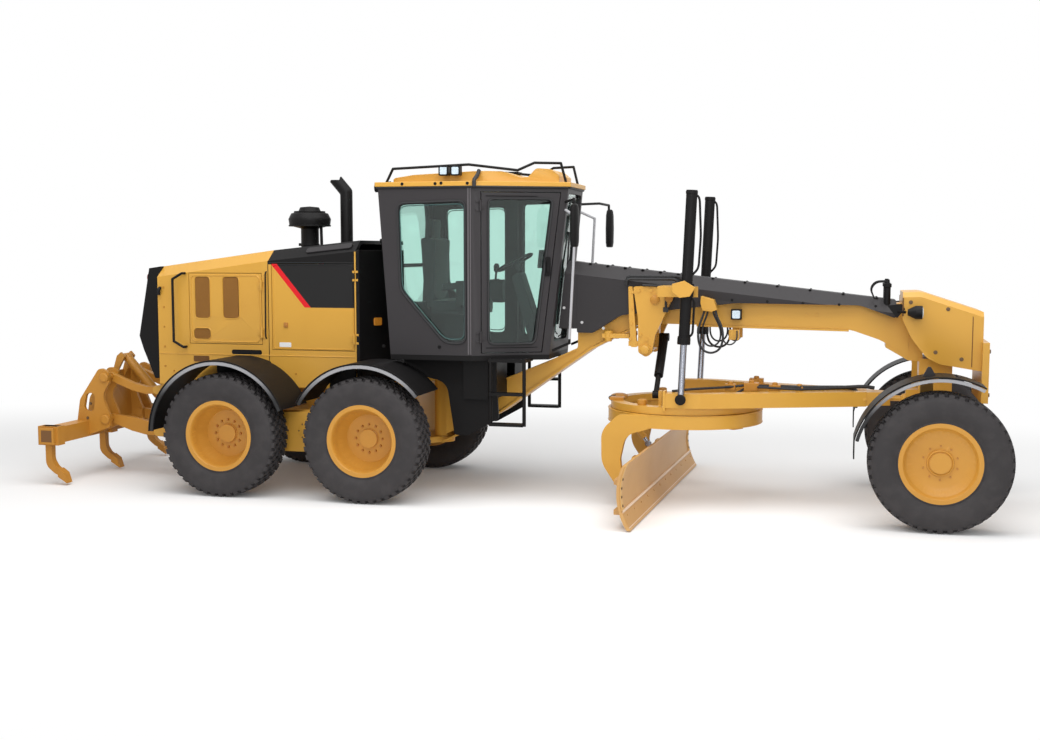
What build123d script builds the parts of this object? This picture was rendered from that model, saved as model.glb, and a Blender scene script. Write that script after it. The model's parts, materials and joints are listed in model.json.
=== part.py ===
from build123d import *
import math
import os

# A motor grader with a rear ripper, in millimetres: +X forward, +Y left, +Z up, wheels on Z 0.
# Stations along X are measured from the front axle while the model is drawn. Each piece is moved
# forward by ORIGIN_SHIFT when it is written, which puts the origin under the middle of the machine.

# Sizes of the machine
ORIGIN_SHIFT = 4230
WHEELBASE = 6123
TANDEM_SPACING = 1523
HALF_TRACK = 1070
SEAT_GAP = 0.3
PIN_GAP = 0.3

# Wheels and tyres
TYRE_R = 620
TYRE_HALF = 186
TREAD_HALF = 150
RIM_R = 330
RIM_HALF = 150
RIM_FLANGE_R = 356
RIM_FLANGE = 13
RIM_SKIN = 16
DISC_SKIN = 22
REAR_DISC_Y = -62
FRONT_DISC_Y = 92
HUB_R = 130
AXLE_Z = TYRE_R
TYRE_FACETS = 48
TANDEM_X = -WHEELBASE
FRONT_TANDEM_X = TANDEM_X + TANDEM_SPACING / 2
REAR_TANDEM_X = TANDEM_X - TANDEM_SPACING / 2

# Rear frame and tandem cases
TANDEM_IN = 590
TANDEM_OUT = 800
TANDEM_HALF_HEIGHT = 215
AXLE_TUBE_R = 170
DIFFERENTIAL_R = 270
RAIL_IN = 300
RAIL_OUT = 380
RAIL_LOW = 860
RAIL_TOP = 1060
FRAME_PLATE = 60
DECK_TOP = 1100
FRAME_REAR_X = TANDEM_X - 1837
HITCH_X = TANDEM_X + 1223
HITCH_LOW = 470
HITCH_TOP = 1180
HITCH_LUG = 60
HITCH_BARREL_R = 105
HITCH_PIN_R = 45
HITCH_WEB_X = HITCH_X - 220

# Hood
HOOD_REAR_X = TANDEM_X - 1747
HOOD_SEAM_X = TANDEM_X - 477
HOOD_FRONT_X = TANDEM_X + 483
HOOD_HALF = 620
HOOD_SHOULDER_HALF = 470
HOOD_SHOULDER_DROP = 110
HOOD_SILL_Z = DECK_TOP + SEAT_GAP
HOOD_REAR_TOP = 2300
HOOD_SEAM_TOP = 2470
CAP_FRONT_TOP = 2570
HOOD_SKIN = 40
DOOR_SKIN = 34
DOOR_GAP = 6
VENT_DOOR = (HOOD_SEAM_X - 900, HOOD_SEAM_X - 80, 1500, 2230)
SERVICE_DOOR = (HOOD_SEAM_X + 40, HOOD_FRONT_X - 20, 1450, 2330)
HANDLE_Z = (1460, 2230)
HANDLE_REACH = 70
HANDLE_BOW = 110
HANDLE_R = 13
ENGINE_INSET = (170, 260)
ENGINE_HALF = 300
ENGINE_TOP = 1950

# Vents in the rear side door, from its lower rear corner: start and end along X, then along Z
VENTS = ((60, 240, 260, 700), (380, 570, 260, 700), (40, 240, 40, 160))
VENT_DEPTH = 14
VENT_CORNER = 40

# Cooling grille at the rear
GRILLE_HALF = 540
GRILLE_TOP_X = HOOD_REAR_X - 140
GRILLE_KNEE_X = HOOD_REAR_X - 275
GRILLE_TOP_Z = 2280
GRILLE_KNEE_Z = 1560
GRILLE_SLOTS = 9
GRILLE_SLOT = 42
GRILLE_SLOT_DEPTH = 45
REAR_LAMP_R = 55
REAR_LAMP_SHARE = 0.86

# Black wall between the hood and the cab
WALL_FRONT_X = HOOD_FRONT_X + 240
WALL_FRONT_HALF = 150
WALL_TOP = 2470

# Exhaust and air intake
PRECLEANER_X = HOOD_SEAM_X + 200
STACK_X = HOOD_SEAM_X + 540
STACK_Y = 200
STACK_R = 66
STACK_TOP = 3240

# Fenders
FENDER_SKIN = 12
REAR_FENDER_R = 750
REAR_FENDER_IN = 650
REAR_FENDER_OUT = 1262
FRONT_FENDER_R = 750
FRONT_FENDER_IN = 852

# Ripper
RIPPER_PIN_R = 32
RIPPER_FRAME_X = FRAME_REAR_X - 100
RIPPER_UPPER_Z = 960
RIPPER_LOWER_Z = 500
RIPPER_LINK_RUN = 580
RIPPER_LINK_RISE = 130
RIPPER_LINK_Y = 300
RIPPER_PLATE_Y = 450
RIPPER_BEAM_X = RIPPER_FRAME_X - 870
RIPPER_BEAM_Z = 525
RIPPER_BEAM_HALF = 1110
RIPPER_BEAM_SIDE = 170
SHANK_ROOM = 1010
SHANK_SIDE = 70
RIPPER_BARREL_PIN = (RIPPER_FRAME_X - 580, 1290)
RIPPER_ROD_PIN = (FRAME_REAR_X - 50, 600)
RIPPER_UPPER_DEPTH = 84
RIPPER_UPPER_SAG = 45
RIPPER_LOWER_DEPTH = 150
RIPPER_BARREL_SHARE = 0.62
RIPPER_BORE_SHARE = 0.08
RIPPER_ROD_SHARE = 0.41
RIPPER_ROD_R = 26
ROD_ROOM = 110

# Cab
CAB_FLOOR_Z = 1440
CAB_TOP_Z = 3090
CAB_REAR_TOP_X = HITCH_X - 430
CAB_REAR_LOW_X = HITCH_X - 310
CAB_POST_X = HITCH_X + 530
CAB_FRONT_TOP_X = HITCH_X + 1400
CAB_FRONT_LOW_X = HITCH_X + 1230
CAB_HALF = 790
CAB_FRONT_HALF = 350
CAB_WALL = 60
FLOOR_SKIN = 50
GLASS_SKIN = 8
CAB_DOOR_GAP = 8
ROOF_REACH = 25
ROOF_SKIN = 45
SKIRT_OUT = 560
BOX_DEPTH = 50
LADDER_R = 18
LADDER_LOW = 760
RAIL_R = 13
HEAD_LAMP = (-150, 1900)
HEAD_LAMP_R = 62

# Front frame
BEAM_HALF = 160
COVER_HALF = 270
COVER_TOP_HALF = 130
COVER_DROP = 120
COVER_CAB_GAP = 70
COVER_REAR_X = CAB_FRONT_TOP_X + COVER_CAB_GAP
COVER_FRONT_X = -370
COVER_REAR_Z = 2350
COVER_FRONT_Z = 2000
COVER_WALL = 60
BEAM_REAR_X = COVER_REAR_X - 10
BEAM_FRONT_X = -250
BEAM_UNDER_FRONT = (-790, 1715)
BEAM_UNDER_REAR = (COVER_REAR_X + 630, 1750)
NOSE_HALF = 400
NOSE_REAR_X = -320
PLATE_X = 395
PLATE_SKIN = 50
PLATE_HALF = 480
PLATE_ROWS = (1075, 1630)
PLATE_BOLT_Y = 440
PLATE_BOLT_Z = (1150, 1550)
PLATE_BOLT_R = 14
NOSE_EDGE = 45

# Front axle, wheel lean and steering
LEAN_Y = 745
KINGPIN_Y = 930
KINGPIN_R = 35
YOKE_HALF = 55
SLEEVE_R = 62
SLEEVE_HALF = 85
FORK_SKIN = 30
SPINDLE_R = 60

# Blade lift cylinders and the arms that carry them
CIRCLE_X = COVER_REAR_X + 1055
LIFT_GLAND = 75
LIFT_X_TOP = CIRCLE_X + 140
LIFT_X_LOW = CIRCLE_X + 57
LIFT_Y = 800
LIFT_TOP_Z = 3025
LIFT_LOW_Z = 1070
LIFT_PIVOT_Z = 2100
LIFT_BARREL_END_Z = 1590
LIFT_BARREL_R = 52
LIFT_ROD_INSIDE = 750
LIFT_EYE_IN = 766
LIFT_ROD_R = 32
EYE_R = 52

# Drawbar and circle
BALL_X = -260
BALL_Z = 1050
BALL_R = 50
BALL_PIN_R = 24
DRAWBAR_LOW = 980
DRAWBAR_TOP = 1120
CIRCLE_R = 765
CIRCLE_IN = 680
SHOE_IN = 632
CIRCLE_LOW = 775
CIRCLE_TOP = 905
YOKE_IN = 620
YOKE_OUT = 740
SHIFT_TOP = (CIRCLE_X - 225, 60, 1600)
SHIFT_LOW = (CIRCLE_X - 225, -480, 1075)
SHIFT_BARREL_R = 45
SHIFT_ROD_R = 26
SHIFT_BARREL_SHARE = 0.68
SHIFT_BORE_SHARE = 0.06
SHIFT_ROD_SHARE = 0.28

# Blade, turned a little about the circle as it stands
BLADE_TURN = -2.5
BLADE_HALF = 1829
BLADE_Z = 12
BLADE_TOP_Z = 590
BLADE_EDGE_X = CIRCLE_X - 173
BLADE_BULGE_X = CIRCLE_X - 265
BLADE_TIP_X = CIRCLE_X - 215
BLADE_SKIN = 24
BLADE_SLIDE_GAP = 0.6
TIP_PIVOT = (CIRCLE_X - 425, 225)
ARM_Y = 700
ARM_SKIN = 60
CARRIER_Y = 590
CARRIER_SKIN = 60
TIP_BARREL_PIN = (CIRCLE_X - 575, 800)
TIP_ROD_PIN = (CIRCLE_X - 370, 520)
TIP_BARREL_SHARE = 0.8
TIP_BORE_SHARE = 0.1
TIP_ROD_SHARE = 0.2
TIP_ROD_R = 20
SHIFT_RAM_Z = 330
SHIFT_RAM_X = CIRCLE_X - 415
SHIFT_RAM_R = 22
SHIFT_RAM_ENDS = (-1130, 150)
SHIFT_RAM_EYE_Y = 1340
SHIFT_RAM_START_Y = -440
RAIL_ROWS = ((130, 175), (400, 445))
RAIL_REAR_X = CIRCLE_X - 337
CUTTING_EDGE = 10
CUTTING_EDGE_TOP = 165
CROSS_BAR_X = TIP_PIVOT[0]

# Door hinges: a barrel and leaf on the door, and a pin between two barrels on the fixed side
HINGE_R = 13
HINGE_OUT = HINGE_R + 1
HINGE_PIN_R = 7
HINGE_HALF = 30
HINGE_END = 22
HINGE_LEAF = 45
HINGE_SKIN = 8
CAB_HINGE_Z = (1620, 2900)
CAB_SLOPE = (CAB_HALF - CAB_FRONT_HALF) / (CAB_FRONT_TOP_X - CAB_POST_X)
CAB_HINGE_RUN = 90 - CAB_DOOR_GAP / 2
CAB_HINGE_OUT = HINGE_OUT * math.sqrt(1 + CAB_SLOPE**2)
CAB_HINGE = (CAB_POST_X + CAB_HINGE_RUN, -CAB_HALF + CAB_HINGE_RUN * CAB_SLOPE - CAB_HINGE_OUT)
HOOD_HINGE_INSET = 120

# Helpers


def block(x0, x1, y0, y1, z0, z1):
    """A box between two corners."""
    size = Box(x1 - x0, y1 - y0, z1 - z0, align=(Align.MIN, Align.MIN, Align.MIN))
    return Pos(x0, y0, z0) * size


def outline(points, radius=0):
    """A closed face through points in space, its corners rounded by one radius or a list of them."""
    if radius:
        return make_face(FilletPolyline(*points, radius=radius, close=True))
    return make_face(Polyline(*points, close=True))


def side_prism(points, y0, y1, radius=0):
    """A side view of (x, z) points, drawn out from y0 to y1."""
    face = outline([(x, y0, z) for x, z in points], radius)
    return extrude(face, amount=y1 - y0, dir=(0, 1, 0))


def plan_prism(points, z0, z1, radius=0):
    """A plan of (x, y) points, drawn out from z0 to z1."""
    face = outline([(x, y, z0) for x, y in points], radius)
    return extrude(face, amount=z1 - z0, dir=(0, 0, 1))


def cross_prism(points, x0, x1, radius=0):
    """A cross section of (y, z) points, drawn out from x0 to x1."""
    face = outline([(x0, y, z) for y, z in points], radius)
    return extrude(face, amount=x1 - x0, dir=(1, 0, 0))


def bar(start, end, radius):
    """A round bar between two points."""
    way = Vector(*end) - Vector(*start)
    lie = (Align.CENTER, Align.CENTER, Align.MIN)
    return Plane(origin=start, z_dir=way) * Cylinder(radius, way.length, align=lie)


def tube_path(points, radius):
    """A round tube through points, with a ball at each turn."""
    tube = bar(points[0], points[1], radius)
    for start, end in zip(points[1:], points[2:]):
        tube += bar(start, end, radius) + Pos(*start) * Sphere(radius)
    return tube


def across(x, z, y0, y1, radius):
    """A round bar along Y."""
    return bar((x, y0, z), (x, y1, z), radius)


def mirrored(shape):
    """The same shape on the other side of the machine."""
    return mirror(shape, about=Plane.XZ)


def both(shape):
    """A shape and its mirror image."""
    return shape + mirrored(shape)


def on_side(side, shape):
    """A shape drawn on the right of the machine, for side -1, or its mirror image."""
    return shape if side < 0 else mirrored(shape)


def point_between(start, end, share):
    """The point a share of the way from start to end."""
    return tuple(a + (b - a) * share for a, b in zip(start, end))


def turned(shape):
    """A blade piece, turned about the middle of the circle to the angle that it stands at."""
    return Pos(CIRCLE_X, 0, 0) * (Rot(0, 0, BLADE_TURN) * (Pos(-CIRCLE_X, 0, 0) * shape))


def hinge_leaf():
    """A door's half of a hinge: axis on Z, the door's surface HINGE_OUT inward on +Y, the door on +X."""
    leaf = block(0, HINGE_LEAF, HINGE_OUT - HINGE_SKIN, HINGE_OUT, -HINGE_HALF, HINGE_HALF)
    leaf += bar((0, 0, -HINGE_HALF), (0, 0, HINGE_HALF), HINGE_R)
    return leaf - bar((0, 0, -HINGE_HALF - 1), (0, 0, HINGE_HALF + 1), HINGE_PIN_R + PIN_GAP)


def hinge_pin():
    """The fixed half of a hinge: the pin, and a barrel and leaf at each of its ends."""
    low, high = HINGE_HALF + 1, HINGE_HALF + 1 + HINGE_END
    half = block(-HINGE_LEAF, 0, HINGE_OUT - HINGE_SKIN, HINGE_OUT, low, high)
    half += bar((0, 0, low), (0, 0, high), HINGE_R)
    return half + mirror(half, about=Plane.XY) + bar((0, 0, -high), (0, 0, high), HINGE_PIN_R)


def cab_hinges(half):
    """Hinge halves in their places on the right cab door's rear edge."""
    face_angle = math.degrees(math.atan2(CAB_HALF - CAB_FRONT_HALF, CAB_FRONT_TOP_X - CAB_POST_X))
    turned_half = Rot(0, 0, face_angle) * half
    x, y = CAB_HINGE
    return Pos(x, y, CAB_HINGE_Z[0]) * turned_half + Pos(x, y, CAB_HINGE_Z[1]) * turned_half


def hood_hinges(half, sizes):
    """Hinge halves in their places on the front edge of a door on the hood's right side."""
    x0, x1, z0, z1 = sizes
    turned_half = mirror(half, about=Plane.YZ)
    place = (x1 + DOOR_GAP / 2, -HOOD_HALF - HINGE_OUT)
    low = Pos(*place, z0 + HOOD_HINGE_INSET) * turned_half
    return low + Pos(*place, z1 - HOOD_HINGE_INSET) * turned_half


# Wheels


def ring_corners(radius, y):
    """The corners of a many-sided ring about the Y axis, the first one straight down."""
    turns = [2 * math.pi * i / TYRE_FACETS for i in range(TYRE_FACETS)]
    return [Vector(radius * math.sin(turn), y, -radius * math.cos(turn)) for turn in turns]


def faceted_ring(section):
    """A solid ring about the Y axis with flat facets, from its section's (radius, y) corners."""
    rings = [ring_corners(radius, y) for radius, y in section]
    faces = []
    for low, high in zip(rings, rings[1:] + rings[:1]):
        for i in range(TYRE_FACETS):
            corners = (low[i], low[i - 1], high[i - 1], high[i])
            faces.append(Face(Wire.make_polygon(corners)))
    return Solid(Shell(faces))


def tyre():
    """A tyre about the Y axis: flat facets round its girth, from bead to bead over the tread."""
    seat_y = RIM_HALF - SEAT_GAP
    bore = ((RIM_R + SEAT_GAP) / math.cos(math.pi / TYRE_FACETS), seat_y)
    bead = (RIM_FLANGE_R + 2, seat_y)
    half = (bore, bead, (RIM_FLANGE_R + 75, TYRE_HALF), (TYRE_R - 62, TYRE_HALF - 3), (TYRE_R, TREAD_HALF))
    return faceted_ring(half + tuple((r, -y) for r, y in reversed(half)))


def rim(disc_y, dish_r):
    """A rim about the Y axis with its outer side on -Y: the disc lies at disc_y, out from the middle."""
    out = RIM_HALF + RIM_FLANGE
    bore = RIM_R - RIM_SKIN
    section = (
        (RIM_FLANGE_R, out),
        (RIM_FLANGE_R, RIM_HALF),
        (RIM_R, RIM_HALF),
        (RIM_R, -RIM_HALF),
        (RIM_FLANGE_R, -RIM_HALF),
        (RIM_FLANGE_R, -out),
        (bore, -out),
        (bore, disc_y - DISC_SKIN),
        (0, disc_y - DISC_SKIN),
        (0, disc_y),
        (dish_r, disc_y),
        (bore - 18, (disc_y + RIM_HALF) / 2),
        (bore - 8, RIM_HALF),
        (bore + 4, out),
    )
    wheel = revolve(outline([(r, -y, 0) for r, y in section]), Axis.Y)
    boss = bar((0, -disc_y, 0), (0, -disc_y - 30, 0), HUB_R * 0.7)
    return wheel + boss


# Rear half


def rear_frame():
    """Two rails with cross members, the axle housing, the hitch lugs and pin, and the ripper's lugs.

    Its plates and castings meet with a hair's gap, so that each stays a plain solid of its own.
    """
    rail_rear = FRAME_REAR_X + FRAME_PLATE + SEAT_GAP
    rail_front = HITCH_WEB_X - FRAME_PLATE - SEAT_GAP
    rail = side_prism(
        (
            (rail_rear, RAIL_LOW),
            (rail_rear, RAIL_TOP),
            (HITCH_WEB_X - 270, RAIL_TOP),
            (rail_front, HITCH_TOP - 25),
            (rail_front, HITCH_LOW),
            (HITCH_WEB_X - 120, HITCH_LOW),
            (HITCH_WEB_X - 420, RAIL_LOW),
        ),
        -RAIL_OUT,
        -RAIL_IN,
    )
    frame = both(rail)
    half = RAIL_IN - SEAT_GAP
    for start, end in (
        (rail_rear, FRAME_REAR_X + 120),
        (REAR_TANDEM_X + 100, REAR_TANDEM_X + 220),
        (HITCH_WEB_X - 150, rail_front),
    ):
        frame += block(start, end, -half, half, RAIL_LOW, RAIL_TOP)
    frame += block(HITCH_WEB_X - FRAME_PLATE, HITCH_WEB_X, -RAIL_OUT, RAIL_OUT, HITCH_LOW, HITCH_TOP)
    frame += block(HOOD_REAR_X, HOOD_FRONT_X, -HOOD_HALF, HOOD_HALF, RAIL_TOP + SEAT_GAP, DECK_TOP)
    for z in (HITCH_LOW, HITCH_TOP - HITCH_LUG):
        lug = plan_prism(
            (
                (HITCH_WEB_X, -RAIL_OUT),
                (HITCH_X, -HITCH_BARREL_R),
                (HITCH_X, HITCH_BARREL_R),
                (HITCH_WEB_X, RAIL_OUT),
            ),
            z,
            z + HITCH_LUG,
        )
        frame += lug + bar((HITCH_X, 0, z), (HITCH_X, 0, z + HITCH_LUG), HITCH_BARREL_R)
    frame += bar((HITCH_X, 0, HITCH_LOW), (HITCH_X, 0, HITCH_TOP), HITCH_PIN_R)
    axle_x = TANDEM_X
    tube_end = TANDEM_IN - SEAT_GAP
    frame += across(axle_x, AXLE_Z, -tube_end, tube_end, AXLE_TUBE_R)
    frame += across(axle_x, AXLE_Z, -170, 170, DIFFERENTIAL_R)
    frame += both(block(axle_x - 160, axle_x + 160, -RAIL_OUT, -RAIL_IN, AXLE_Z, RAIL_LOW - SEAT_GAP))
    plate_low = RIPPER_LOWER_Z - 60
    tail = block(FRAME_REAR_X, FRAME_REAR_X + FRAME_PLATE, -RAIL_OUT, RAIL_OUT, plate_low, RAIL_TOP)
    rod_x, rod_z = RIPPER_ROD_PIN
    tail -= block(FRAME_REAR_X - 1, FRAME_REAR_X + 61, -55, 49.5, rod_z - ROD_ROOM, rod_z + ROD_ROOM)
    frame += tail
    for z in (RIPPER_UPPER_Z, RIPPER_LOWER_Z):
        for y in (RIPPER_LINK_Y - 70, RIPPER_LINK_Y + 40):
            lug = side_prism(
                (
                    (FRAME_REAR_X, z + 70),
                    (RIPPER_FRAME_X, z + 45),
                    (RIPPER_FRAME_X, z - 45),
                    (FRAME_REAR_X, z - 50),
                ),
                y,
                y + 30,
            )
            frame += both(lug + across(RIPPER_FRAME_X, z, y, y + 30, 45))
        frame += both(across(RIPPER_FRAME_X, z, RIPPER_LINK_Y - 70, RIPPER_LINK_Y + 70, RIPPER_PIN_R))
    lug = side_prism(
        ((FRAME_REAR_X, rod_z + 60), (rod_x, rod_z + 40), (rod_x, rod_z - 40), (FRAME_REAR_X, rod_z - 60)),
        50,
        90,
    )
    frame += lug + across(rod_x, rod_z, 50, 90, 40)
    return frame + tandem_cases()


def tandem_cases():
    """A case on each side that carries two wheel hubs."""
    low, high = AXLE_Z - TANDEM_HALF_HEIGHT, AXLE_Z + TANDEM_HALF_HEIGHT
    case = side_prism(
        (
            (REAR_TANDEM_X - 150, low + 90),
            (REAR_TANDEM_X - 150, high - 90),
            (REAR_TANDEM_X, high - 30),
            (TANDEM_X, high),
            (FRONT_TANDEM_X, high - 30),
            (FRONT_TANDEM_X + 150, high - 90),
            (FRONT_TANDEM_X + 150, low + 90),
            (FRONT_TANDEM_X, low + 20),
            (REAR_TANDEM_X, low + 20),
        ),
        -TANDEM_OUT,
        -TANDEM_IN,
        40,
    )
    hub_end = HALF_TRACK + REAR_DISC_Y - DISC_SKIN - SEAT_GAP
    for x in (REAR_TANDEM_X, FRONT_TANDEM_X):
        case += across(x, AXLE_Z, -hub_end, -TANDEM_OUT, HUB_R)
    return both(case)


def engine_block():
    """The engine and radiator as one plain block."""
    rear, front = HOOD_REAR_X + ENGINE_INSET[0], HOOD_FRONT_X - ENGINE_INSET[1]
    return block(rear, front, -ENGINE_HALF, ENGINE_HALF, DECK_TOP + SEAT_GAP, ENGINE_TOP)


def hood_section(x, top, skin):
    """A cross section of the hood at x, set in by skin, as (y, z) points."""
    half = HOOD_HALF - skin
    shoulder = HOOD_SHOULDER_HALF - skin / 2
    crown = top - skin
    low = HOOD_SILL_Z
    points = (
        (-half, low),
        (-half, crown - HOOD_SHOULDER_DROP),
        (-shoulder, crown),
        (shoulder, crown),
        (half, crown - HOOD_SHOULDER_DROP),
        (half, low),
    )
    return outline([(x, y, z) for y, z in points])


def hood_form(x0, top0, x1, top1, skin=0):
    """The hood between two stations as a closed solid, its sides set in by skin."""
    return loft([hood_section(x0, top0, skin), hood_section(x1, top1, skin)], ruled=True)


def slope_at(x, x0, top0, x1, top1):
    """The height of the hood's top at x."""
    return top0 + (top1 - top0) * (x - x0) / (x1 - x0)


def hood_shell():
    """The yellow hood: two side walls and a roof, open below and to the front, with its door openings."""
    form = hood_form(HOOD_REAR_X, HOOD_REAR_TOP, HOOD_SEAM_X, HOOD_SEAM_TOP)
    reach = 20
    inner0 = HOOD_REAR_X + HOOD_SKIN
    inner1 = HOOD_SEAM_X + reach
    grade = (HOOD_REAR_X, HOOD_REAR_TOP, HOOD_SEAM_X, HOOD_SEAM_TOP)
    form -= hood_form(inner0, slope_at(inner0, *grade), inner1, slope_at(inner1, *grade), HOOD_SKIN)
    front = hood_form(HOOD_SEAM_X, HOOD_SEAM_TOP, HOOD_FRONT_X, CAP_FRONT_TOP)
    grade = (HOOD_SEAM_X, HOOD_SEAM_TOP, HOOD_FRONT_X, CAP_FRONT_TOP)
    start, end = HOOD_SEAM_X - reach, HOOD_FRONT_X + reach
    front -= hood_form(start, slope_at(start, *grade), end, slope_at(end, *grade), HOOD_SKIN)
    low_edge = SERVICE_DOOR[3] + 20
    front -= block(start, end, -HOOD_HALF, HOOD_HALF, low_edge, CAP_FRONT_TOP)
    shell = form + front
    for x0, x1, z0, z1 in (VENT_DOOR, SERVICE_DOOR):
        shell -= block(
            x0 - DOOR_GAP, x1 + DOOR_GAP, -HOOD_HALF - 5, HOOD_HALF + 5, z0 - DOOR_GAP, z1 + DOOR_GAP
        )
    for sizes in (VENT_DOOR, SERVICE_DOOR):
        shell += both(hood_hinges(hinge_pin(), sizes))
    return shell


def hood_cap():
    """The black cap over the front of the hood."""
    cap = hood_form(HOOD_SEAM_X, HOOD_SEAM_TOP, HOOD_FRONT_X, CAP_FRONT_TOP)
    grade = (HOOD_SEAM_X, HOOD_SEAM_TOP, HOOD_FRONT_X, CAP_FRONT_TOP)
    reach = 20
    start, end = HOOD_SEAM_X - reach, HOOD_FRONT_X + reach
    cap -= hood_form(start, slope_at(start, *grade), end, slope_at(end, *grade), HOOD_SKIN)
    low_edge = SERVICE_DOOR[3] + 20
    cap -= block(start, end, -HOOD_HALF, HOOD_HALF, HOOD_SILL_Z, low_edge)
    return cap + front_wall()


def front_wall():
    """The black wall and tank in front of the hood, tapered so that the cab can swing."""
    wall = plan_prism(
        (
            (HOOD_FRONT_X, -HOOD_HALF),
            (HOOD_FRONT_X + 40, -HOOD_HALF),
            (WALL_FRONT_X, -WALL_FRONT_HALF),
            (WALL_FRONT_X, WALL_FRONT_HALF),
            (HOOD_FRONT_X + 40, HOOD_HALF),
            (HOOD_FRONT_X, HOOD_HALF),
        ),
        HOOD_SILL_Z,
        WALL_TOP,
    )
    return wall


def rear_grille():
    """The black cooling grille that closes the rear of the hood, with its slots and two tail lamps."""
    rows = (
        (HOOD_REAR_X, HOOD_REAR_TOP),
        (GRILLE_TOP_X, GRILLE_TOP_Z),
        (GRILLE_KNEE_X, GRILLE_KNEE_Z),
        (HOOD_REAR_X - 230, 1420),
        (HOOD_REAR_X - 100, DECK_TOP + 10),
        (HOOD_REAR_X, DECK_TOP + 10),
    )
    grille = side_prism(rows, -GRILLE_HALF, GRILLE_HALF)
    pitch = (GRILLE_TOP_Z - GRILLE_KNEE_Z) / (GRILLE_SLOTS + 1)
    for row in range(GRILLE_SLOTS):
        share = (row + 1) / (GRILLE_SLOTS + 1)
        x, z = point_between((GRILLE_KNEE_X, GRILLE_KNEE_Z), (GRILLE_TOP_X, GRILLE_TOP_Z), share)
        half = GRILLE_HALF - 90 if pitch * row < 480 else GRILLE_HALF - 190
        low, high = z - GRILLE_SLOT / 2, z + GRILLE_SLOT / 2
        grille -= block(x - 100, x + GRILLE_SLOT_DEPTH, -half, half, low, high)
    x, z = point_between((GRILLE_KNEE_X, GRILLE_KNEE_Z), (GRILLE_TOP_X, GRILLE_TOP_Z), REAR_LAMP_SHARE)
    y = -GRILLE_HALF + 90
    lamp = bar((x + 40, y, z), (x - 25, y, z), REAR_LAMP_R)
    return Pos(-SEAT_GAP, 0, 0) * (grille + both(lamp))


def stacks():
    """The air intake with its precleaner bowl, and the exhaust stack with its slanted tip."""
    base = HOOD_SEAM_TOP - 20
    profile = (
        (0, base),
        (95, base),
        (95, 2700),
        (215, 2730),
        (225, 2800),
        (195, 2860),
        (120, 2880),
        (100, 2925),
        (0, 2935),
    )
    face = outline([(r, 0, z) for r, z in profile])
    intake = Pos(PRECLEANER_X, 0, 0) * revolve(face, Axis.Z)
    bend = (STACK_X, STACK_Y, 3090)
    base = (STACK_X, STACK_Y, HOOD_SEAM_TOP - 20)
    tip = (STACK_X - 130, STACK_Y, STACK_TOP)
    stack = tube_path((base, bend, tip), STACK_R)
    stack -= block(STACK_X - 400, STACK_X - 60, 0, 400, STACK_TOP - 20, STACK_TOP + 200)
    lift = SEAT_GAP
    under = hood_form(HOOD_SEAM_X, HOOD_SEAM_TOP + lift, HOOD_FRONT_X, CAP_FRONT_TOP + lift)
    return intake + stack - under + both(hood_handle())


def hood_handle():
    """The long bent grab handle beside the rear side door."""
    wall = -HOOD_HALF - SEAT_GAP
    out = wall - HANDLE_REACH
    x = VENT_DOOR[0] - 45
    low, high = HANDLE_Z
    path = (
        (x, wall, high),
        (x, out, high),
        (x - HANDLE_BOW, out, high - 60),
        (x - HANDLE_BOW, out, low + 60),
        (x, out, low),
        (x, wall, low),
    )
    return tube_path(path, HANDLE_R)


def arc_strip(radius, start, end, skin, y0, y1):
    """A strip bent about the Y axis from start to end degrees, counted up from +X."""
    first, middle, last = (math.radians(a) for a in (start, (start + end) / 2, end))
    outer_r = radius + skin
    inner = [(radius * math.cos(a), radius * math.sin(a)) for a in (first, last)]
    outer = [(outer_r * math.cos(a), outer_r * math.sin(a)) for a in (first, last)]

    def at(point):
        return (point[0], y0, point[1])

    edges = (
        ThreePointArc(
            at(inner[0]), (radius * math.cos(middle), y0, radius * math.sin(middle)), at(inner[1])
        ),
        Line(at(inner[1]), at(outer[1])),
        ThreePointArc(
            at(outer[1]), (outer_r * math.cos(middle), y0, outer_r * math.sin(middle)), at(outer[0])
        ),
        Line(at(outer[0]), at(inner[0])),
    )
    return extrude(make_face(Wire(edges)), amount=y1 - y0, dir=(0, 1, 0))


def rear_fenders():
    """Four bent strips over the tandem wheels, each on a bracket from the deck's edge."""
    fenders = None
    rows = (
        (REAR_TANDEM_X, 22, 178, REAR_TANDEM_X - 300, REAR_TANDEM_X + 300),
        (FRONT_TANDEM_X, 38, 152, FRONT_TANDEM_X - 560, HOOD_FRONT_X),
    )
    for x, start, end, bracket_rear, bracket_front in rows:
        strip = arc_strip(REAR_FENDER_R, start, end, FENDER_SKIN, -REAR_FENDER_OUT, -REAR_FENDER_IN)
        strip = Pos(x, 0, AXLE_Z) * strip
        top = AXLE_Z + REAR_FENDER_R + FENDER_SKIN
        out, inside = -REAR_FENDER_IN - 4, -HOOD_HALF - SEAT_GAP
        bracket = block(bracket_rear, bracket_front, out, inside, RAIL_TOP, top)
        bracket &= across(x, AXLE_Z, out, inside, REAR_FENDER_R + FENDER_SKIN)
        pair = both(strip + bracket)
        fenders = pair if fenders is None else fenders + pair
    return fenders


def side_door(side, sizes, vents=()):
    """An engine door: a panel as thick as the hood's wall, hinged on its front edge, with sunk vents."""
    x0, x1, z0, z1 = sizes
    panel = block(x0, x1, -HOOD_HALF, -HOOD_HALF + DOOR_SKIN, z0, z1)
    for rear, front, low, high in vents:
        a, b, c, d = x0 + rear, x0 + front, z0 + low, z0 + high
        corners = ((a, c), (b, c), (b, d), (a, d))
        panel -= side_prism(corners, -HOOD_HALF - 1, -HOOD_HALF + VENT_DEPTH, VENT_CORNER)
    return on_side(side, panel + hood_hinges(hinge_leaf(), sizes))


# Ripper


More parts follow.
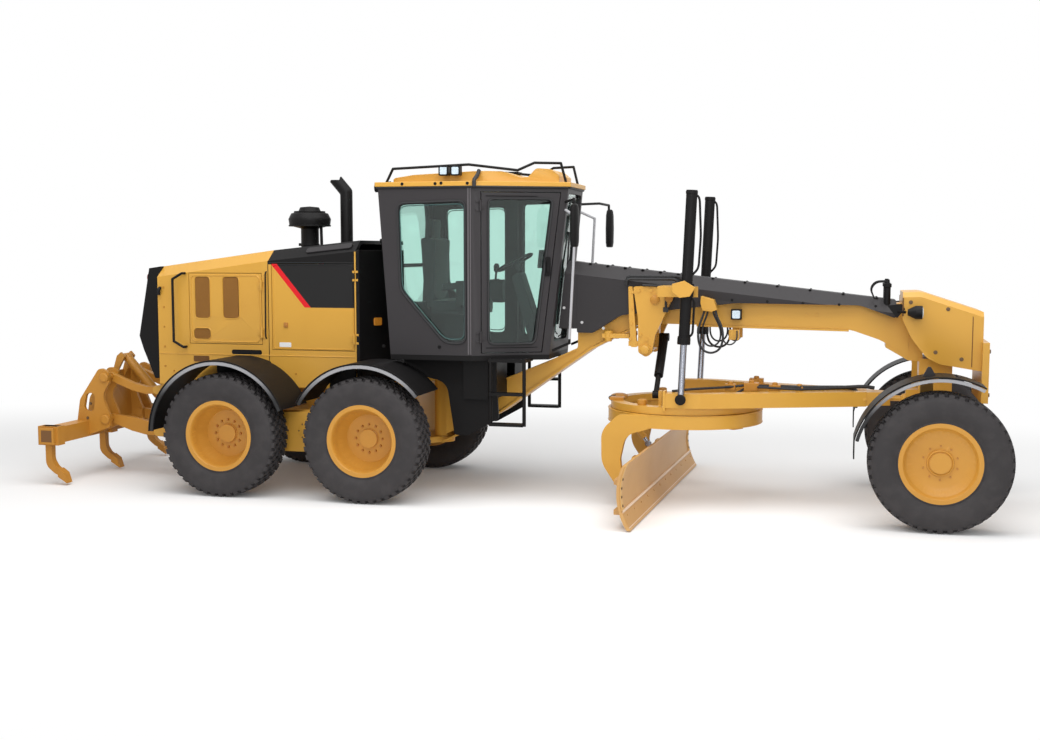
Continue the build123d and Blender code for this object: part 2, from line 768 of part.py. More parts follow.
def link(start, end, y0, y1, radius, width, sag):
    """A link in the XZ plane, deepest between its two round ends, which it may sag between."""
    way = Vector(end[0] - start[0], 0, end[1] - start[1])
    across_way = Vector(way.Z, 0, -way.X).normalized()
    upper, lower = [], []
    for share, half, drop in (
        (0, radius * 0.9, 0),
        (0.25, width / 2, 1),
        (0.55, width / 2, 1),
        (1, radius * 0.9, 0),
    ):
        x, z = point_between(start, end, share)
        z -= sag * drop
        upper.append((x + across_way.X * half, z + across_way.Z * half))
        lower.append((x - across_way.X * half, z - across_way.Z * half))
    body = side_prism(upper + lower[::-1], y0, y1)
    for x, z in (start, end):
        body += across(x, z, y0, y1, radius)
    for x, z in (start, end):
        body -= across(x, z, y0 - 1, y1 + 1, RIPPER_PIN_R + PIN_GAP)
    return body


def ripper_links(height, depth, sag):
    """One pair of the ripper's parallel links."""
    start = (RIPPER_FRAME_X, height)
    end = (RIPPER_FRAME_X - RIPPER_LINK_RUN, height + RIPPER_LINK_RISE)
    return both(link(start, end, RIPPER_LINK_Y - 34, RIPPER_LINK_Y + 34, 48, depth, sag))


def ripper_carriage():
    """The toolbar with its side plates, pin lugs and three shanks."""
    half = RIPPER_BEAM_SIDE / 2
    bar_x, bar_z = RIPPER_BEAM_X, RIPPER_BEAM_Z
    body = block(
        bar_x - half, bar_x + half, -RIPPER_BEAM_HALF, RIPPER_BEAM_HALF, bar_z - half, bar_z + half
    )
    pin_x = RIPPER_FRAME_X - RIPPER_LINK_RUN
    low_z = RIPPER_LOWER_Z + RIPPER_LINK_RISE
    high_z = RIPPER_UPPER_Z + RIPPER_LINK_RISE
    barrel_x, barrel_z = RIPPER_BARREL_PIN
    plate_outline = (
        (bar_x - 60, bar_z + half - 5),
        (bar_x - 20, bar_z + 320),
        (pin_x - 60, high_z + 110),
        (pin_x + 50, high_z + 60),
        (pin_x + 50, high_z - 60),
        (pin_x - 40, high_z - 200),
        (pin_x + 50, low_z + 50),
        (pin_x + 50, low_z - 80),
        (bar_x + 40, bar_z - half),
    )
    plate_corners = (5, 120, 60, 40, 60, 150, 30, 20, 20)
    plate = side_prism(plate_outline, -RIPPER_PLATE_Y, -RIPPER_PLATE_Y + 40, plate_corners)
    hole = side_prism(
        (
            (bar_x + 20, bar_z + 190),
            (bar_x + 150, bar_z + 190),
            (bar_x + 170, bar_z + 390),
            (bar_x + 60, bar_z + 390),
        ),
        -RIPPER_PLATE_Y - 1,
        -RIPPER_PLATE_Y + 41,
        50,
    )
    plate -= hole
    body += both(plate)
    inner = RIPPER_LINK_Y - 76
    inner_plate = side_prism(plate_outline, -inner - 40, -inner, plate_corners)
    body += both(inner_plate)
    for z in (low_z, high_z):
        body += both(across(pin_x, z, -RIPPER_PLATE_Y + 20, -inner - 20, RIPPER_PIN_R))
    body += block(pin_x - 130, pin_x - 90, -inner - 20, inner + 20, bar_z + half, high_z + 40)
    ear = side_prism(
        (
            (pin_x - 130, high_z - 40),
            (barrel_x - 50, barrel_z + 10),
            (barrel_x, barrel_z + 50),
            (barrel_x + 45, barrel_z),
            (pin_x - 90, high_z - 40),
        ),
        -115,
        -85,
    )
    body += both(ear)
    for y in (-SHANK_ROOM, 0, SHANK_ROOM):
        body += Pos(0, y, 0) * ripper_shank()
    return body


def ripper_shank():
    """One shank in its pocket, with its point reaching forward and down."""
    x, z = RIPPER_BEAM_X, RIPPER_BEAM_Z
    half = RIPPER_BEAM_SIDE / 2
    pocket = block(x - half - 40, x + half + 30, -60, 60, z - half - 15, z + half + 15)
    shank = side_prism(
        (
            (x - 60, z),
            (x - 58, z - 320),
            (x + 40, z - 400),
            (x + 130, z - 440),
            (x + 160, z - 395),
            (x + 60, z - 330),
            (x + 15, z - 260),
            (x + 15, z),
        ),
        -SHANK_SIDE / 2,
        SHANK_SIDE / 2,
        (5, 110, 60, 5, 5, 60, 110, 5),
    )
    point = side_prism(
        ((x + 85, z - 435), (x + 200, z - 505), (x + 165, z - 395), (x + 95, z - 345)),
        -SHANK_SIDE / 2 - 12,
        SHANK_SIDE / 2 + 12,
        4,
    )
    return pocket + shank + point


def ripper_barrel():
    """The ripper cylinder's barrel, with its pin between the carriage's ears."""
    x, z = RIPPER_BARREL_PIN
    end = RIPPER_ROD_PIN
    start = (x, 0, z)
    finish = (end[0], 0, end[1])
    body = bar(start, point_between(start, finish, RIPPER_BARREL_SHARE), 52)
    body += across(x, z, -85 + PIN_GAP, 85 - PIN_GAP, 34)
    body -= bar(point_between(start, finish, RIPPER_BORE_SHARE), finish, RIPPER_ROD_R + PIN_GAP)
    return body


def ripper_rod():
    """The ripper cylinder's rod, with its eye beside the frame's lug."""
    x, z = RIPPER_BARREL_PIN
    end = RIPPER_ROD_PIN
    start = (x, 0, z)
    finish = (end[0], 0, end[1])
    rod = bar(point_between(start, finish, RIPPER_ROD_SHARE), finish, RIPPER_ROD_R)
    return rod + across(end[0], end[1], -40, 49, 44)


# Front half


def is_nose_crown(edge):
    """Whether an edge runs along the top of the nose's side."""
    box = edge.bounding_box()
    return abs(edge.center().Y) > NOSE_HALF - 1 and edge.center().Z > 1900 and box.size.X > box.size.Z


def front_frame():
    """The front frame: hitch barrel, arched box beam, nose with its push plate, and drawbar socket."""
    beam = side_prism(
        (
            (HITCH_X, HITCH_LOW + HITCH_LUG + 8),
            (HITCH_X, HITCH_TOP - HITCH_LUG - 8),
            (CAB_POST_X + 70, 1120),
            (CAB_FRONT_TOP_X - 165, 1375),
            (BEAM_REAR_X, 1480),
            (BEAM_REAR_X, 2270),
            (BEAM_FRONT_X, 1900),
            (BEAM_FRONT_X, 1470),
            (-510, 1620),
            BEAM_UNDER_FRONT,
            BEAM_UNDER_REAR,
            (COVER_REAR_X + 120, 1500),
            (CAB_POST_X + 130, 840),
        ),
        -BEAM_HALF,
        BEAM_HALF,
        (1, 1, 500, 400, 60, 30, 5, 5, 400, 400, 400, 800, 800),
    )
    low, high = HITCH_LOW + HITCH_LUG + 6, HITCH_TOP - HITCH_LUG - 6
    beam -= block(HITCH_X - 1, HITCH_X + 60, -BEAM_HALF, BEAM_HALF, low - 10, high + 10)
    beam += block(HITCH_X, HITCH_X + 61, -HITCH_BARREL_R, HITCH_BARREL_R, low, high)
    beam += bar((HITCH_X, 0, low), (HITCH_X, 0, high), HITCH_BARREL_R)
    beam -= bar((HITCH_X, 0, low - 1), (HITCH_X, 0, high + 1), HITCH_PIN_R + PIN_GAP)
    nose = side_prism(
        (
            (NOSE_REAR_X, 2080),
            (-150, 2085),
            (PLATE_X, 1905),
            (PLATE_X, 1360),
            (20, 1420),
            (-100, 1480),
            (-240, 1660),
            (NOSE_REAR_X, 1830),
        ),
        -NOSE_HALF,
        NOSE_HALF,
        (0, 200, 0, 10, 60, 100, 200, 60),
    )
    nose = chamfer([edge for edge in nose.edges() if is_nose_crown(edge)], NOSE_EDGE)
    bolster = block(-150, 150, -170, 170, 1000, 1450)
    socket = block(BALL_X, -150, -90, 90, BALL_Z - 95, BALL_Z + 95)
    socket -= Pos(BALL_X, 0, BALL_Z) * Sphere(BALL_R + PIN_GAP)
    socket -= across(BALL_X, BALL_Z, -91, 91, BALL_PIN_R + PIN_GAP)
    plate = block(PLATE_X - 10, PLATE_X + PLATE_SKIN, -PLATE_HALF, PLATE_HALF, *PLATE_ROWS)
    for y in (-PLATE_BOLT_Y, PLATE_BOLT_Y):
        for z in PLATE_BOLT_Z:
            plate -= bar((PLATE_X - 20, y, z), (PLATE_X + PLATE_SKIN + 1, y, z), PLATE_BOLT_R)
    return beam + nose + bolster + socket + plate


def frame_cover():
    """The dark cover over the front frame's beam."""
    side = side_prism(
        (
            (COVER_REAR_X, COVER_REAR_Z),
            (COVER_FRONT_X, COVER_FRONT_Z),
            (COVER_FRONT_X, 1830),
            (COVER_FRONT_X - 330, 1950),
            (COVER_REAR_X + 1560, 1960),
            (COVER_REAR_X + 440, 1830),
            (COVER_REAR_X + 160, 1650),
            (COVER_REAR_X, 1650),
        ),
        -COVER_HALF,
        COVER_HALF,
        (5, 20, 20, 300, 400, 200, 60, 20),
    )
    shoulder = cross_prism(
        (
            (-COVER_HALF, 1000),
            (-COVER_HALF, COVER_REAR_Z - COVER_DROP),
            (-COVER_TOP_HALF, COVER_REAR_Z),
            (COVER_TOP_HALF, COVER_REAR_Z),
            (COVER_HALF, COVER_REAR_Z - COVER_DROP),
            (COVER_HALF, 1000),
        ),
        COVER_REAR_X,
        COVER_REAR_X + 1,
    )
    grade = (COVER_REAR_Z - COVER_FRONT_Z) / (COVER_REAR_X - COVER_FRONT_X)
    face = shoulder.faces().sort_by(Axis.X)[-1]
    cover = side & extrude(face, amount=50 - COVER_REAR_X, dir=(1, 0, grade))
    inner = side_prism(
        (
            (COVER_REAR_X - 1, COVER_REAR_Z - COVER_WALL),
            (COVER_FRONT_X + 70, COVER_FRONT_Z - COVER_WALL - 15),
            (COVER_FRONT_X + 70, 1000),
            (COVER_REAR_X - 1, 1000),
        ),
        -BEAM_HALF - SEAT_GAP,
        BEAM_HALF + SEAT_GAP,
    )
    return cover - inner


def beam_under(x):
    """The height of the beam's straight underside at x."""
    return BEAM_UNDER_FRONT[1] + (BEAM_UNDER_REAR[1] - BEAM_UNDER_FRONT[1]) * (
        (x - BEAM_UNDER_FRONT[0]) / (BEAM_UNDER_REAR[0] - BEAM_UNDER_FRONT[0])
    )


def saddle():
    """The yellow saddle that clamps the beam: two legs a side, the lift cylinders' arms, a cross bar."""
    x = CIRCLE_X
    leg = side_prism(
        (
            (x - 480, 2115),
            (x - 125, 2130),
            (x - 75, 2050),
            (x - 160, 1860),
            (x - 260, 1640),
            (x - 290, 1470),
            (x - 345, 1420),
            (x - 425, 1470),
            (x - 430, 1800),
        ),
        -COVER_HALF - 60 - SEAT_GAP,
        -COVER_HALF - SEAT_GAP,
        (20, 20, 30, 200, 120, 30, 40, 30, 400),
    )
    rear_leg = side_prism(
        ((x - 530, 2115), (x - 490, 2115), (x - 440, 1520), (x - 500, 1520), (x - 520, 1800)),
        -COVER_HALF - 50 - SEAT_GAP,
        -COVER_HALF - SEAT_GAP,
        (10, 10, 10, 10, 200),
    )
    brace = block(x - 525, x - 400, -COVER_HALF - 45, -COVER_HALF - SEAT_GAP, 1530, 1580)
    outer = -LIFT_Y + 90
    arm = block(x - 185, x - 45, outer, -COVER_HALF - 55, 2030, 2130)
    fork = block(x - 185, x + 195, outer - 10, outer + 30, 2030, 2130)
    pivot_x = lift_point(LIFT_PIVOT_Z)[0]
    arm += fork + across(pivot_x, LIFT_PIVOT_Z, outer - 10, outer + 20, 50)
    boss = across(x - 355, 1500, -COVER_HALF - 85, -COVER_HALF - SEAT_GAP, 55)
    body = both(leg + rear_leg + brace + arm + boss)
    body += block(x - 415, x - 315, -COVER_HALF - 30, COVER_HALF + 30, 1470, 1530)
    shift_x, lug_y, _ = SHIFT_TOP
    face = shift_x - SHIFT_BARREL_R - PIN_GAP
    body += block(face - 55, face, lug_y - 60, lug_y + 60, 1500, 1650)
    body += block(face - 55, face, lug_y - 60, lug_y + 60, 1640, beam_under(face) - SEAT_GAP)
    return body


def lift_share(z):
    """How far down the lift cylinder a height lies, as a share from its top to its eye."""
    return (LIFT_TOP_Z - z) / (LIFT_TOP_Z - LIFT_LOW_Z)


def lift_point(z):
    """The point on the right lift cylinder's centre line at a height."""
    top = (LIFT_X_TOP, -LIFT_Y, LIFT_TOP_Z)
    return point_between(top, (LIFT_X_LOW, -LIFT_Y, LIFT_LOW_Z), lift_share(z))


def lift_barrel(side):
    """A lift cylinder's barrel with its trunnion collar."""
    top = lift_point(LIFT_TOP_Z)
    end = lift_point(LIFT_BARREL_END_Z)
    body = bar(top, end, LIFT_BARREL_R)
    x, y, z = lift_point(LIFT_PIVOT_Z)
    body += bar(lift_point(z + 60), lift_point(z - 60), LIFT_BARREL_R + 14)
    body += across(x, z, -LIFT_Y + 40, -LIFT_Y + 80 - PIN_GAP, 40)
    body += bar(lift_point(LIFT_BARREL_END_Z + LIFT_GLAND), end, LIFT_BARREL_R + 8)
    body -= bar(lift_point(LIFT_TOP_Z - 60), lift_point(LIFT_BARREL_END_Z - 20), LIFT_ROD_R + PIN_GAP)
    return on_side(side, body)


def lift_rod(side):
    """A lift cylinder's rod with its eye beside the drawbar."""
    start = lift_point(LIFT_BARREL_END_Z + LIFT_ROD_INSIDE)
    x, y, z = lift_point(LIFT_LOW_Z)
    body = bar(start, (x, y, z), LIFT_ROD_R)
    body += across(x, z, -LIFT_Y - 35, -LIFT_EYE_IN, EYE_R - 8)
    return on_side(side, body)


def shift_barrel():
    """The barrel of the cylinder that holds the drawbar sideways."""
    x, y, z = SHIFT_TOP
    body = bar(SHIFT_TOP, point_between(SHIFT_TOP, SHIFT_LOW, SHIFT_BARREL_SHARE), SHIFT_BARREL_R)
    body += bar((x - 44, y, z), (x + 50, y, z), 40)
    body -= bar(point_between(SHIFT_TOP, SHIFT_LOW, SHIFT_BORE_SHARE), SHIFT_LOW, SHIFT_ROD_R + PIN_GAP)
    return body


def shift_rod():
    """The rod of the cylinder that holds the drawbar sideways."""
    body = bar(point_between(SHIFT_TOP, SHIFT_LOW, SHIFT_ROD_SHARE), SHIFT_LOW, SHIFT_ROD_R)
    x, y, z = SHIFT_LOW
    return body + bar((x - 30, y, z), (x + 30, y, z), 38)


def front_axle():
    """The arched front axle, with a barrel along X at each end for the wheel lean."""
    half_section = (
        (-LEAN_Y + 40, 565),
        (-LEAN_Y + 40, 675),
        (-560, 690),
        (-250, 1000 - SEAT_GAP),
        (0, 1000 - SEAT_GAP),
        (0, 800),
        (-300, 790),
        (-560, 565),
    )
    half = cross_prism(half_section, -90, 90)
    half += bar((-90, -LEAN_Y, AXLE_Z), (90, -LEAN_Y, AXLE_Z), 55)
    half -= bar((-91, -LEAN_Y, AXLE_Z), (91, -LEAN_Y, AXLE_Z), KINGPIN_R + PIN_GAP)
    return both(half)


def lean_yoke(side):
    """The piece that leans with a front wheel: two cheeks on the axle's end, and the kingpin sleeve."""
    inner = -LEAN_Y + 55
    outer = -KINGPIN_Y
    yoke = block(-125, -95, outer + 60, inner, AXLE_Z - YOKE_HALF, AXLE_Z + YOKE_HALF)
    yoke += block(95, 125, outer + 60, inner, AXLE_Z - YOKE_HALF, AXLE_Z + YOKE_HALF)
    yoke += block(-125, 125, outer + 60, outer + 100, AXLE_Z - YOKE_HALF, AXLE_Z + YOKE_HALF)
    yoke += block(-55, 55, outer, outer + 70, AXLE_Z - YOKE_HALF, AXLE_Z + YOKE_HALF)
    yoke += bar((0, outer, AXLE_Z - SLEEVE_HALF), (0, outer, AXLE_Z + SLEEVE_HALF), SLEEVE_R)
    yoke += bar((-125, -LEAN_Y, AXLE_Z), (125, -LEAN_Y, AXLE_Z), KINGPIN_R)
    yoke -= bar((0, outer, AXLE_Z - 200), (0, outer, AXLE_Z + 200), KINGPIN_R + PIN_GAP)
    return on_side(side, yoke)


def steering_knuckle(side):
    """The knuckle: a fork with the kingpin, the spindle with its hub, and the fender's bracket."""
    y = -KINGPIN_Y
    top = AXLE_Z + SLEEVE_HALF + 1
    low = AXLE_Z - SLEEVE_HALF - 1
    web_out = y - 110
    body = block(-60, 60, web_out, y - 78, low - FORK_SKIN, top + FORK_SKIN)
    for z in (low - FORK_SKIN, top):
        body += block(-60, 60, web_out, y, z, z + FORK_SKIN)
        body += bar((0, y, z), (0, y, z + FORK_SKIN), 60)
    body += bar((0, y, low - FORK_SKIN), (0, y, top + FORK_SKIN), KINGPIN_R)
    hub_face = HALF_TRACK + FRONT_DISC_Y - DISC_SKIN - SEAT_GAP
    body += across(0, AXLE_Z, -hub_face, web_out, SPINDLE_R)
    body += across(0, AXLE_Z, -hub_face, -hub_face + 20, HUB_R)
    bracket = block(-170, -60, -FRONT_FENDER_IN, -FRONT_FENDER_IN + 14, top, AXLE_Z + FRONT_FENDER_R)
    under, over = AXLE_Z + 705, AXLE_Z + FRONT_FENDER_R
    bracket += block(-170, -60, -FRONT_FENDER_IN - 70, -FRONT_FENDER_IN + 14, under, over)
    bracket &= across(0, AXLE_Z, -HALF_TRACK, 0, FRONT_FENDER_R - SEAT_GAP)
    bracket += block(-170, 0, y, -FRONT_FENDER_IN + 14, top, top + FORK_SKIN)
    return on_side(side, body + bracket)


def front_fender(side):
    """A bent strip over a front wheel, with its mud flap."""
    strip = arc_strip(FRONT_FENDER_R, 62, 166, FENDER_SKIN, -REAR_FENDER_OUT, -FRONT_FENDER_IN)
    strip = Pos(0, 0, AXLE_Z) * strip
    flap_x = (FRONT_FENDER_R + FENDER_SKIN) * math.cos(math.radians(166))
    flap = block(flap_x, flap_x + 12, -REAR_FENDER_OUT, -FRONT_FENDER_IN, AXLE_Z + 20, AXLE_Z + 190)
    return on_side(side, strip + flap)


# Cab


def cab_form(inset, z0, z1):
    """The cab's outside form set in by inset, cut off at z0 and z1."""
    rise = CAB_TOP_Z - CAB_FLOOR_Z
    door_way = Vector(CAB_FRONT_TOP_X - CAB_POST_X, CAB_HALF - CAB_FRONT_HALF, 0).normalized()
    normal = Vector(-door_way.Y, door_way.X, 0)
    post_shift = inset * (1 - normal.Y) / (-normal.X)
    front_x = CAB_FRONT_TOP_X - inset
    share = (front_x - CAB_POST_X) / (CAB_FRONT_TOP_X - CAB_POST_X)
    line_y = CAB_HALF - (CAB_HALF - CAB_FRONT_HALF) * share
    front_half = line_y - inset / normal.Y
    half = CAB_HALF - inset
    rear_x = CAB_REAR_TOP_X + inset
    post_x = CAB_POST_X + post_shift
    form = plan_prism(
        (
            (rear_x, -half),
            (post_x, -half),
            (front_x, -front_half),
            (front_x, front_half),
            (post_x, half),
            (rear_x, half),
        ),
        z0,
        z1,
    )
    rear_lean = (CAB_REAR_LOW_X - CAB_REAR_TOP_X) / rise
    front_lean = (CAB_FRONT_TOP_X - CAB_FRONT_LOW_X) / rise
    low, high = CAB_FLOOR_Z - 400, CAB_TOP_Z + 400
    rear_cut = (
        (CAB_REAR_TOP_X - rear_lean * 400 + inset, high),
        (CAB_REAR_LOW_X + rear_lean * 400 + inset, low),
        (CAB_REAR_TOP_X - 1000, low),
        (CAB_REAR_TOP_X - 1000, high),
    )
    front_cut = (
        (CAB_FRONT_TOP_X + front_lean * 400 - inset, high),
        (CAB_FRONT_LOW_X - front_lean * 400 - inset, low),
        (CAB_FRONT_TOP_X + 1000, low),
        (CAB_FRONT_TOP_X + 1000, high),
    )
    form -= side_prism(rear_cut, -2000, 2000)
    form -= side_prism(front_cut, -2000, 2000)
    return form


def door_cut(gap):
    """The door's place in the cab's side, in side view, grown by gap."""
    return (
        (CAB_POST_X + 90 - gap, CAB_FLOOR_Z + 30 - gap),
        (CAB_POST_X + 90 - gap, CAB_TOP_Z - 60 + gap),
        (CAB_FRONT_TOP_X - 75 + gap, CAB_TOP_Z - 60 + gap),
        (CAB_FRONT_LOW_X - 75 + gap, CAB_FLOOR_Z + 30 - gap),
    )


def side_window():
    """The rear side window in side view."""
    return (
        (CAB_REAR_TOP_X + 205, 2930),
        (CAB_POST_X - 60, 2950),
        (CAB_POST_X - 60, 1560),
        (CAB_POST_X - 270, 1560),
        (CAB_REAR_TOP_X + 230, 2080),
    )


def door_window():
    """The door's window in side view."""
    return (
        (CAB_POST_X + 150, CAB_FLOOR_Z + 110),
        (CAB_POST_X + 150, CAB_TOP_Z - 120),
        (CAB_FRONT_TOP_X - 140, CAB_TOP_Z - 120),
        (CAB_FRONT_LOW_X - 130, CAB_FLOOR_Z + 110),
    )


def cab_frame():
    """The cab's posts and walls, with openings for the doors and every window."""
    shell = cab_form(0, CAB_FLOOR_Z, CAB_TOP_Z)
    shell -= cab_form(CAB_WALL, CAB_FLOOR_Z - 10, CAB_TOP_Z + 10)
    shell -= side_prism(side_window(), -2000, 2000, 60)
    shell -= side_prism(door_cut(CAB_DOOR_GAP), -2000, 2000)
    front_window = ((-CAB_FRONT_HALF + 50, 1560), (-CAB_FRONT_HALF + 50, 3030))
    front_window += ((CAB_FRONT_HALF - 50, 3030), (CAB_FRONT_HALF - 50, 1560))
    shell -= cross_prism(front_window, CAB_FRONT_LOW_X - 120, CAB_FRONT_TOP_X + 100, 40)
    rear_window = ((-600, 1900), (-600, 2990), (600, 2990), (600, 1900))
    shell -= cross_prism(rear_window, CAB_REAR_TOP_X - 50, CAB_REAR_LOW_X + 90, 60)
    return shell + both(cab_hinges(hinge_pin()))


def cab_windows():
    """The fixed panes of the cab, each set in the thickness of its wall."""
    inset = CAB_WALL / 2
    skin = cab_form(inset, CAB_FLOOR_Z, CAB_TOP_Z)
    skin -= cab_form(inset + GLASS_SKIN, CAB_FLOOR_Z - 10, CAB_TOP_Z + 10)
    side = side_prism(side_window(), -2000, 2000, 60)
    side = skin & side
    half_front = CAB_FRONT_HALF - 50
    front = cross_prism(
        ((-half_front, 1560), (-half_front, 3030), (half_front, 3030), (half_front, 1560)),
        CAB_FRONT_LOW_X - 120,
        CAB_FRONT_TOP_X + 100,
        40,
    )
    front = skin & front
    rear = cross_prism(
        ((-600, 1900), (-600, 2990), (600, 2990), (600, 1900)), CAB_REAR_TOP_X - 50, CAB_REAR_LOW_X + 90, 60
    )
    rear = skin & rear
    return side + front + rear


def cab_door(side):
    """A cab door's frame, as thick as the cab's wall."""
    shell = cab_form(0, CAB_FLOOR_Z, CAB_TOP_Z)
    shell -= cab_form(CAB_WALL, CAB_FLOOR_Z - 10, CAB_TOP_Z + 10)
    door = shell & side_prism(door_cut(0), -2000, 0)
    door -= side_prism(door_window(), -2000, 0, 50)
    return on_side(side, door + cab_hinges(hinge_leaf()))


def cab_door_glass(side):
    """A cab door's pane."""
    inset = CAB_WALL / 2
    skin = cab_form(inset, CAB_FLOOR_Z, CAB_TOP_Z)
    skin -= cab_form(inset + GLASS_SKIN, CAB_FLOOR_Z - 10, CAB_TOP_Z + 10)
    pane = skin & side_prism(door_window(), -2000, 0, 50)
    return on_side(side, pane)


def cab_base():
    """The cab's floor with the dark panels below it, and the ladder on each side."""
    floor = cab_form(0, CAB_FLOOR_Z - FLOOR_SKIN, CAB_FLOOR_Z - SEAT_GAP)
    under = CAB_FLOOR_Z - FLOOR_SKIN
    skirt = side_prism(
        (
            (HITCH_X - 250, under),
            (CAB_POST_X + 170, under),
            (CAB_POST_X + 210, 800),
            (CAB_POST_X - 110, 620),
            (CAB_POST_X - 250, 620),
            (CAB_POST_X - 330, 1150),
            (HITCH_X - 250, 1250),
        ),
        -SKIRT_OUT,
        -SKIRT_OUT + 30,
        (5, 5, 30, 60, 30, 150, 30),
    )
    skirt += block(CAB_POST_X + 110, CAB_POST_X + 190, -SKIRT_OUT, -BEAM_HALF - SEAT_GAP, 1000, under)
    skirt += block(CAB_POST_X - 140, CAB_POST_X + 115, -SKIRT_OUT - BOX_DEPTH, -SKIRT_OUT, 990, 1380)
    return floor + both(skirt) + both(ladder())


def ladder():
    """The steps below a cab door: two posts, two treads and the arm that holds them."""
    frame = None
    y = -CAB_HALF
    rear, front = CAB_POST_X + 190, CAB_POST_X + 530
    for x in (rear, front):
        post = bar((x, y, 1420), (x, y, LADDER_LOW), LADDER_R)
        frame = post if frame is None else frame + post
    for z in (LADDER_LOW, LADDER_LOW + 300):
        frame += block(rear, front, y - 60, y + 60, z, z + 25)
    frame += block(rear - LADDER_R, front + LADDER_R, y - LADDER_R, -SKIRT_OUT + 60, 1382, 1412)
    return frame


def cab_roof():
    """The yellow roof: a long hump at the rear, a dip across it, and a short hump over the windscreen."""
    base = cab_form(-ROOF_REACH, CAB_TOP_Z + SEAT_GAP, CAB_TOP_Z + ROOF_SKIN)
    rear, front = CAB_REAR_TOP_X, CAB_FRONT_TOP_X
    hump = side_prism(
        (
            (rear + 40, CAB_TOP_Z + 35),
            (rear + 130, 3185),
            (rear + 320, 3212),
            (CAB_POST_X - 20, 3240),
            (CAB_POST_X + 250, 3240),
            (front - 450, 3180),
            (front - 390, 3190),
            (front - 320, 3275),
            (front - 190, 3268),
            (front - 90, 3190),
            (front - 60, CAB_TOP_Z + 35),
        ),
        -640,
        640,
        (20, 60, 200, 200, 100, 25, 25, 50, 60, 60, 10),
    )
    hump &= cab_form(110, CAB_TOP_Z + 30, 3400)
    return base + hump


def lamp(x, y, z, radius, depth):
    """A round lamp that faces forward, with a tapered back."""
    profile = ((0, -depth), (radius * 0.45, -depth), (radius, -depth * 0.45), (radius, 0), (0, 0))
    face = outline([(d, r, 0) for r, d in profile])
    return Pos(x, y, z) * revolve(face, Axis.X)


def cab_fittings():
    """Roof rails, lamps, mirrors and grab rails on the cab, and the lamps of the front frame, all black."""
    foot = CAB_TOP_Z + ROOF_SKIN + SEAT_GAP
    rear, front = CAB_REAR_TOP_X, CAB_FRONT_TOP_X
    rail = tube_path(
        (
            (rear + 60, -700, foot),
            (rear + 130, -700, 3270),
            (CAB_POST_X - 50, -700, 3300),
            (front - 480, -500, 3250),
            (front - 330, -420, 3325),
            (front - 90, -300, 3325),
            (front - 40, -285, foot),
        ),
        RAIL_R,
    )
    arm = tube_path(
        (
            (front - 60, -300, 2940),
            (front + 120, -620, 2960),
            (front + 170, -910, 2950),
            (front + 170, -910, 2800),
        ),
        RAIL_R,
    )
    mirror_head = block(front + 150, front + 210, -1000, -830, 2500, 2905)
    grab = tube_path(
        (
            (front - 60, -330, 2880),
            (front + 100, -480, 2800),
            (front + 40, -480, 1560),
            (front - 140, -440, 1480),
        ),
        RAIL_R,
    )
    fittings = rail + arm + mirror_head + grab
    for x in (CAB_POST_X - 290, CAB_POST_X - 170):
        fittings += block(x - 45, x + 45, -760, -675, 3195, 3285)
    fittings = both(fittings) - cab_form(-SEAT_GAP, CAB_FLOOR_Z - 100, CAB_TOP_Z)
    fittings -= cab_form(-ROOF_REACH - SEAT_GAP, CAB_TOP_Z, foot)
    side = NOSE_HALF + SEAT_GAP
    x, z = HEAD_LAMP
    head_lamp = lamp(x, -side - 85, z, HEAD_LAMP_R, 130)
    bracket = block(x - 100, x - 40, -side - 60, -side, z - 30, z + 30)
    frame_lamp = block(-1910, -1810, -BEAM_HALF - 95, -BEAM_HALF - SEAT_GAP, 1800, 1900)
    return fittings + both(head_lamp + bracket + frame_lamp)


def cab_interior():
    """The seat, the steering console and the control pods."""
    post = CAB_POST_X
    low = CAB_FLOOR_Z
    seat = block(post - 580, post - 80, -260, 260, low + 380, low + 500)
    back = ((-660, 480), (-560, 450), (-590, 1150), (-700, 1160))
    seat += side_prism([(post + x, low + z) for x, z in back], -250, 250, 30)
    seat += block(post - 480, post - 180, -150, 150, low, low + 400)
    column = CAB_FRONT_LOW_X
    console = side_prism(
        (
            (column - 290, low),
            (column - 290, low + 100),
            (column - 480, low + 760),
            (column - 390, low + 820),
            (column - 150, low + 100),
            (column - 150, low),
        ),
        -110,
        110,
        (5, 60, 20, 30, 60, 5),
    )
    pods = both(block(post - 280, post + 20, -400, -290, low + 480, low + 720))
    arms = both(block(post - 280, post - 230, -400, -250, low + 440, low + 490))
    return seat + console + pods + arms


# Drawbar, circle and blade


